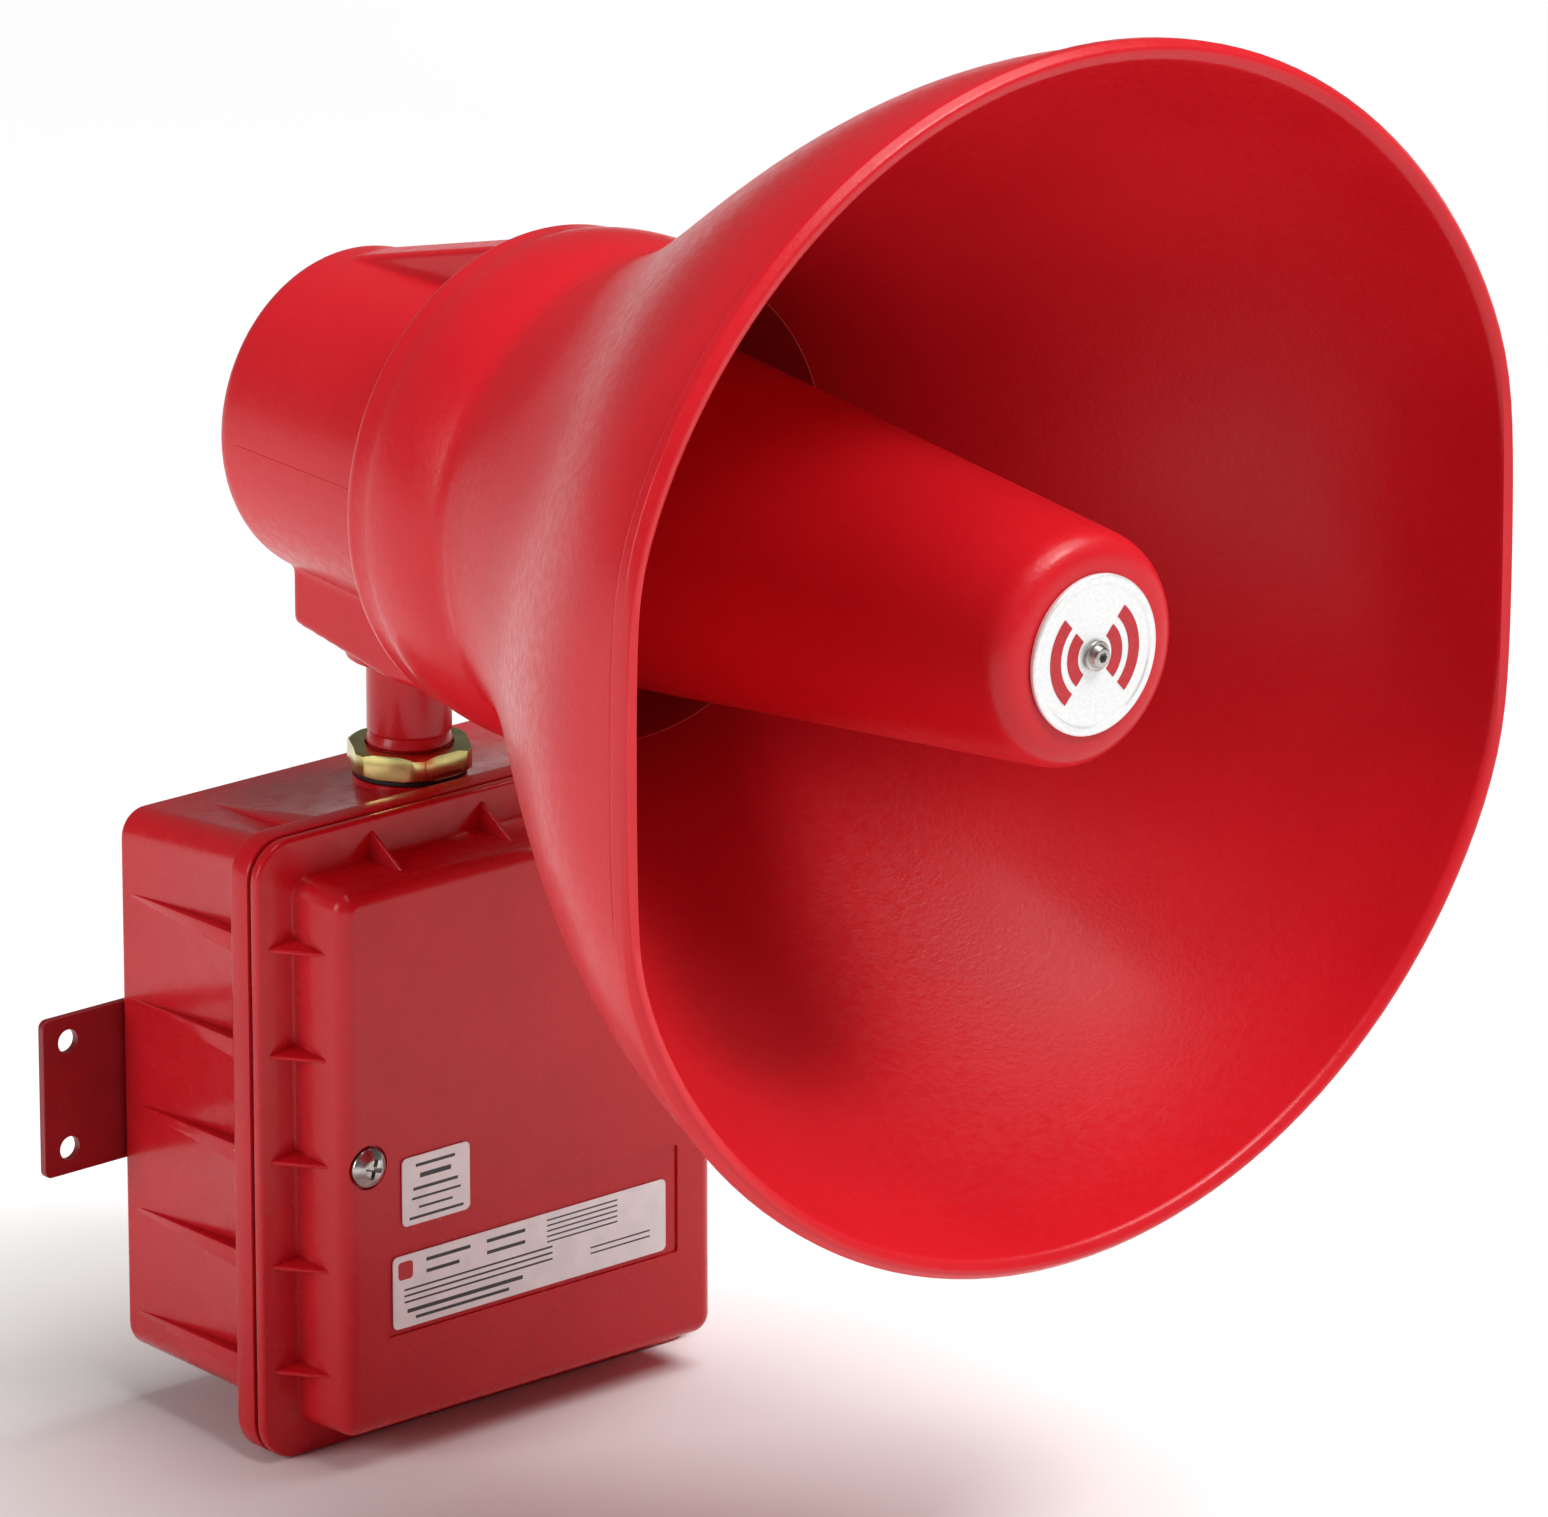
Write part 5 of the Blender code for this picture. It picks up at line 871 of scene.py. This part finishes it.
def gusset(bm, foot, root, tip, spread_along):
    """A rib in the corner of flange and pan: thick in the corner, thin at both ends."""
    points = []
    for point, width in ((foot, GUSSET_TIP), (root, GUSSET_ROOT), (tip, GUSSET_TIP)):
        points += [Vector(point) + spread_along * half for half in (-width / 2, width / 2)]
    for point, width in ((root, GUSSET_ROOT), (foot, GUSSET_TIP)):
        sunk = Vector(point) + Vector((0, 1.4, 0))
        points += [sunk + spread_along * half for half in (-width / 2, width / 2)]
    wedge(bm, points, 0.35)


def cover_gussets(bm):
    tip_y = COVER_FLANGE_Y - GUSSET_REACH
    first = RIB_CENTRE_Z - RIB_PITCH * (RIB_COUNT - 1) / 2
    for side in (-1, 1):
        root, foot, tip = PAN_HALF - 1.25, FLANGE_HALF - GUSSET_INSET, PAN_HALF - PAN_DRAFT - 0.1
        for index in range(RIB_COUNT):
            z = first + index * RIB_PITCH
            gusset(bm, (side * foot, COVER_FLANGE_Y, z), (side * root, COVER_FLANGE_Y, z),
                   (side * tip, tip_y, z), Vector((0, 0, 1)))
    first = -TOP_GUSSET_PITCH * (TOP_GUSSET_COUNT - 1) / 2
    for side, edge, pan in ((1, BOX_HIGH.z, PAN_TOP), (-1, BOX_LOW.z, PAN_BOTTOM)):
        root, foot, tip = pan - side * 1.25, edge - side * GUSSET_INSET, pan - side * (PAN_DRAFT + 0.1)
        for index in range(TOP_GUSSET_COUNT):
            x = first + index * TOP_GUSSET_PITCH
            gusset(bm, (x, COVER_FLANGE_Y, foot), (x, COVER_FLANGE_Y, root), (x, tip_y, tip),
                   Vector((1, 0, 0)))


def cover():
    inner_radius = PAN_CORNER - COVER_WALL + 0.5
    edge = FLANGE_EDGE
    loops = [pan_loop(COVER_FRONT_Y + COVER_WALL, COVER_WALL, inner_radius),
             rounded_loop(COVER_REAR_Y, PAN_HALF - COVER_WALL, PAN_BOTTOM + COVER_WALL, PAN_TOP - COVER_WALL,
                          inner_radius),
             flange_loop(COVER_REAR_Y, 0.5), flange_loop(COVER_REAR_Y - 0.15, 0.12),
             flange_loop(COVER_REAR_Y - 0.5)]
    loops += [flange_loop(COVER_FLANGE_Y + edge * (1 - sin(turn)), edge * (1 - cos(turn)))
              for turn in (pi / 2 * step / 4 for step in range(5))]
    loops += [pan_loop(COVER_FLANGE_Y, -1.0, PAN_CORNER + 1.0),
              pan_loop(COVER_FLANGE_Y - 0.3, -0.3, PAN_CORNER + 0.3),
              pan_loop(COVER_FLANGE_Y - 1.0, 0, PAN_CORNER)]
    for step in range(9):
        angle = pi / 2 * step / 8
        inset = PAN_FILLET * (1 - cos(angle))
        loops.append(pan_loop(COVER_FRONT_Y + PAN_FILLET * (1 - sin(angle)), inset, PAN_CORNER - inset))
    lid = make("cover_casting", loft(loops))
    ribs = bmesh.new()
    cover_gussets(ribs)
    cuts = bmesh.new()
    x, z = RECESS_CENTRE
    half_w, half_h = RECESS_SIZE[0] / 2, RECESS_SIZE[1] / 2
    loft([rounded_loop(y, half_w, z - half_h, z + half_h, 0.8, 4, x)
          for y in (COVER_FRONT_Y - 1, COVER_FRONT_Y + RECESS_DEPTH)], cuts)
    for x in (-SCREW_SPACING / 2, SCREW_SPACING / 2):
        seat = [(-4.0, 0), (-4.0, 2.7), (-SCREW_SINK, 2.7), (-SCREW_SINK, SCREW_SEAT), (0.0, SCREW_SEAT),
                (1.0, SCREW_SEAT + 1.0), (1.0, 0)]
        lathe(seat, centre=(x, COVER_FRONT_Y, SCREW_Z), around=SMALL_AROUND, bm=cuts)
    combine(lid, make("cuts", cuts), "DIFFERENCE")
    joined = bmesh.new()
    joined.from_mesh(lid.data)
    bmesh.ops.scale(ribs, vec=(MM, MM, MM), verts=ribs.verts)
    rib_mesh = bpy.data.meshes.new("ribs")
    ribs.to_mesh(rib_mesh)
    ribs.free()
    joined.from_mesh(rib_mesh)
    bpy.data.meshes.remove(rib_mesh)
    joined.to_mesh(lid.data)
    joined.free()
    return dress(lid, RED_ENAMEL, "cover", "enclosure_cover", sharp=30)


def cover_screw(word):
    low, high = corners("cover_screw_" + word)
    x, z = (low.x + high.x) / 2, (low.z + high.z) / 2
    head = 2.8
    tip = head - (high.y - low.y)
    outline = filleted([(tip, 0, 0), (tip, 1.6, 0.5), (tip + 2, 2.4, 0.3), (0, 2.4, 0), (0, SCREW_HEAD, 0.3),
                        (1.1, SCREW_HEAD, 1.2), (head, 2.6, 2.5), (head, 0, 0)], 8)
    seat_y = low.y + head
    screw = make("cover_screw_steel_" + word, lathe(outline, centre=(x, seat_y, z), around=SMALL_AROUND))
    for turn in (18, 108):
        spin = Matrix.Rotation(radians(turn), 4, "Y")
        points = []
        for depth, reach, half in ((0.3, 2.9, 0.62), (-1.7, 1.3, 0.45)):
            points += [spin @ Vector((a * reach, -(head + depth), b * half))
                       for a in (-1, 1) for b in (-1, 1)]
        slot = bmesh.new()
        wedge(slot, [point + Vector((x, seat_y, z)) for point in points], 0.02)
        combine(screw, make("cross", slot), "DIFFERENCE")
    return dress(screw, STAINLESS, "cover", "cover_screw_" + word)


def label(name, rows, block_size):
    """A white label with a plain corner block and ruled bars, and no lettering."""
    low, high = corners(name)
    middle = (low.x + high.x) / 2
    half = (high.x - low.x) / 2
    loops = [rounded_loop(y, half, low.z, high.z, 1.5, 6, middle) for y in (high.y, low.y + 0.05)]
    loops.append(rounded_loop(low.y, half - 0.06, low.z + 0.06, high.z - 0.06, 1.45, 6, middle))
    bm = loft(loops)
    film = dress(make(name + "_film", bm), LABEL_FILM, "cover", name)
    ink = bmesh.new()
    height = high.z - low.z
    for across, up, long, thick in rows:
        x = low.x + across * (high.x - low.x)
        z = low.z + up * height
        end = x + long * (high.x - low.x)
        block((x, low.y - 0.01, z - thick / 2), (end, low.y + 0.02, z + thick / 2), ink)
    dress(make(name + "_rules", ink), BLACK_INK, "cover")
    if block_size:
        corner = bmesh.new()
        loft([rounded_loop(y, block_size / 2, high.z - 1.6 - block_size, high.z - 1.6, 1.0, 5,
                           low.x + 1.6 + block_size / 2) for y in (low.y + 0.02, low.y - 0.01)], corner)
        dress(make(name + "_block", corner), RED_INK, "cover")
    return film


def strap():
    low, high = corners("wall_strap")
    half = (high.x - low.x) / 2
    bm = loft([rounded_loop(y, half - inset, low.z + inset, high.z - inset, 2.0 - inset, 5)
               for y, inset in ((high.y, 0.15), (high.y - 0.15, 0), (low.y + 0.15, 0), (low.y, 0.15))])
    plate = make("wall_strap_plate", bm)
    holes = bmesh.new()
    drilled = [(side * (half - 7.6), end * 13.7, 3.0) for side in (-1, 1) for end in (-1, 1)]
    drilled += [(side * 30.0, 0.0, 2.6) for side in (-1, 1)]
    for x, z, radius in drilled:
        through = [(-1.0, 0), (-1.0, radius), (4.0, radius), (4.0, 0)]
        lathe(through, centre=(x, 0, z), around=SMALL_AROUND, bm=holes)
    combine(plate, make("holes", holes), "DIFFERENCE")
    return dress(plate, RED_STRIP, "enclosure", "wall_strap")


# ---------------------------------------------------------------- CAD nodes that stay

def finish_inner_parts():
    finishes = {
        RUBBER: ("cover_gasket", "bell_gasket"),
        BOARD: ("circuit_board",),
        LAMINATIONS: ("transformer_core",),
        COIL_TAPE: ("transformer_coil",),
        CAPACITOR_CAN: ("filter_capacitor", "coupling_capacitor"),
        GREEN_PLASTIC: ("terminal_block",),
        BLACK_PLASTIC: ("gain_potentiometer", "gain_knob", "lead_splice"),
        GREY_PLASTIC: ("throat_tube", "reflector_spider", "throat_plate", "diaphragm_clamp"),
        DRIVER_STEEL: ("magnet_yoke", "top_plate"),
        FERRITE: ("ring_magnet",),
        FILM: ("diaphragm",),
        RED_LEAD: ("upper_lead_red", "lower_lead_red"),
        BLACK_LEAD: ("upper_lead_black", "lower_lead_black"),
        YELLOW_ZINC: ("conduit_plug",),
        STAINLESS: ("stem_set_screw",),
        BRIGHT_ZINC: ("inner_locknut", "plug_nut", "strap_screw_left", "strap_screw_right",
                      *[f"board_screw_{number}" for number in range(1, 5)],
                      *[f"terminal_screw_{number}" for number in range(1, 5)],
                      *[f"driver_screw_{number}" for number in range(1, 4)],
                      *[f"bell_screw_{number}" for number in range(1, 5)]),
    }
    for material, names in finishes.items():
        for name in names:
            mesh = frame["nodes"][name].data
            mesh.materials.clear()
            mesh.materials.append(material)


# ---------------------------------------------------------------- stage

def soft_light(name, place, aim, width, height, watts, colour="#FFFFFF"):
    lamp = bpy.data.lights.new(name, "AREA")
    lamp.shape = "RECTANGLE"
    lamp.size = width
    lamp.size_y = height
    lamp.energy = watts
    lamp.color = linear(colour)[:3]
    holder = bpy.data.objects.new(name, lamp)
    bpy.context.scene.collection.objects.link(holder)
    holder.location = place
    holder.rotation_euler = (Vector(aim) - Vector(place)).to_track_quat("-Z", "Y").to_euler()


def floor():
    bm = bmesh.new()
    reach = 14000.0
    level = CAD_BOX[0].z / MM - 0.2
    bm.faces.new([bm.verts.new((x, y, level)) for x, y in
                  ((-reach, -reach), (reach, -reach), (reach, reach), (-reach, reach))])
    ground = make("studio_floor", bm)
    paper = Finish("matt_white_paper", IOR=1.45, Roughness=0.9, Specular_IOR_Level=0.1)
    paper.colour(paper.clouds(600), "#F5F5F5", "#F9F9F9")
    ground.data.materials.append(paper.material)


def studio():
    scene = bpy.context.scene
    scene.view_settings.view_transform = "Standard"
    scene.world = bpy.data.worlds.new("studio")
    scene.world.use_nodes = True
    surround = scene.world.node_tree.nodes["Background"]
    surround.inputs["Color"].default_value = linear("#FFFFFF")
    surround.inputs["Strength"].default_value = 0.15
    sun = bpy.data.lights.new("ceiling_panel", "SUN")
    sun.energy = 2.75
    sun.angle = radians(50)
    holder = bpy.data.objects.new("ceiling_panel", sun)
    scene.collection.objects.link(holder)
    holder.rotation_euler = Vector((0.28, -0.30, 1.0)).to_track_quat("Z", "Y").to_euler()
    middle = (0.0, -0.12, 0.12)
    soft_light("left_softbox", (-2.1, 0.35, 0.75), middle, 0.8, 1.1, 16)
    soft_light("high_softbox", (0.5, -1.3, 1.7), middle, 0.5, 0.4, 13)


def camera():
    """Long lens, a little above, in front and to the left of the horn."""
    turn, rise = radians(-41.2), radians(17.9)
    distance, aside, above = 2.9117, 0.0884, 0.0029
    back = Vector((sin(turn) * cos(rise), -cos(turn) * cos(rise), sin(rise)))
    right = Vector((cos(turn), sin(turn), 0))
    up = back.cross(right)
    lens = bpy.data.cameras.new("camera")
    lens.lens = 279.07
    lens.sensor_width = 36.0
    lens.clip_end = 60.0
    holder = bpy.data.objects.new("camera", lens)
    bpy.context.scene.collection.objects.link(holder)
    stem_foot = Vector((AXIS_X, STEM_Y, BOX_TOP)) * MM
    holder.location = stem_foot + back * distance + right * aside + up * above
    holder.rotation_euler = back.to_track_quat("Z", "Y").to_euler()
    bpy.context.scene.camera = holder


# Bars on the labels: how far across and up they start, how long they are, as shares of the label's
# size, and their thickness.
RATING_ROWS = (
    [(0.12, 0.86, 0.16, 0.9), (0.34, 0.86, 0.14, 0.9), (0.12, 0.70, 0.12, 0.9), (0.34, 0.70, 0.14, 0.9)]
    + [(0.56, 0.90 - 0.075 * row, 0.26, 0.4) for row in range(5)]
    + [(0.04, 0.52 - 0.085 * row, 0.54, 0.5) for row in range(3)]
    + [(0.05, 0.22, 0.42, 1.0), (0.08, 0.11, 0.34, 0.8), (0.72, 0.34, 0.22, 0.4), (0.72, 0.26, 0.22, 0.4)]
)
DATE_ROWS = [(0.20, 0.86, 0.58, 0.8), (0.26, 0.70, 0.46, 1.2), (0.16, 0.52, 0.66, 0.8),
             (0.14, 0.38, 0.72, 0.6), (0.24, 0.24, 0.50, 0.6), (0.10, 0.10, 0.80, 0.7)]

bell()
driver_casting()
casting_seam()
bullet()
badge()
badge_screw()
stem()
locknut()
washer()
control_box()
cover()
cover_screw("left")
cover_screw("right")
label("rating_label", RATING_ROWS, 4.6)
label("date_label", DATE_ROWS, 0)
strap()
finish_inner_parts()
floor()
studio()
camera()
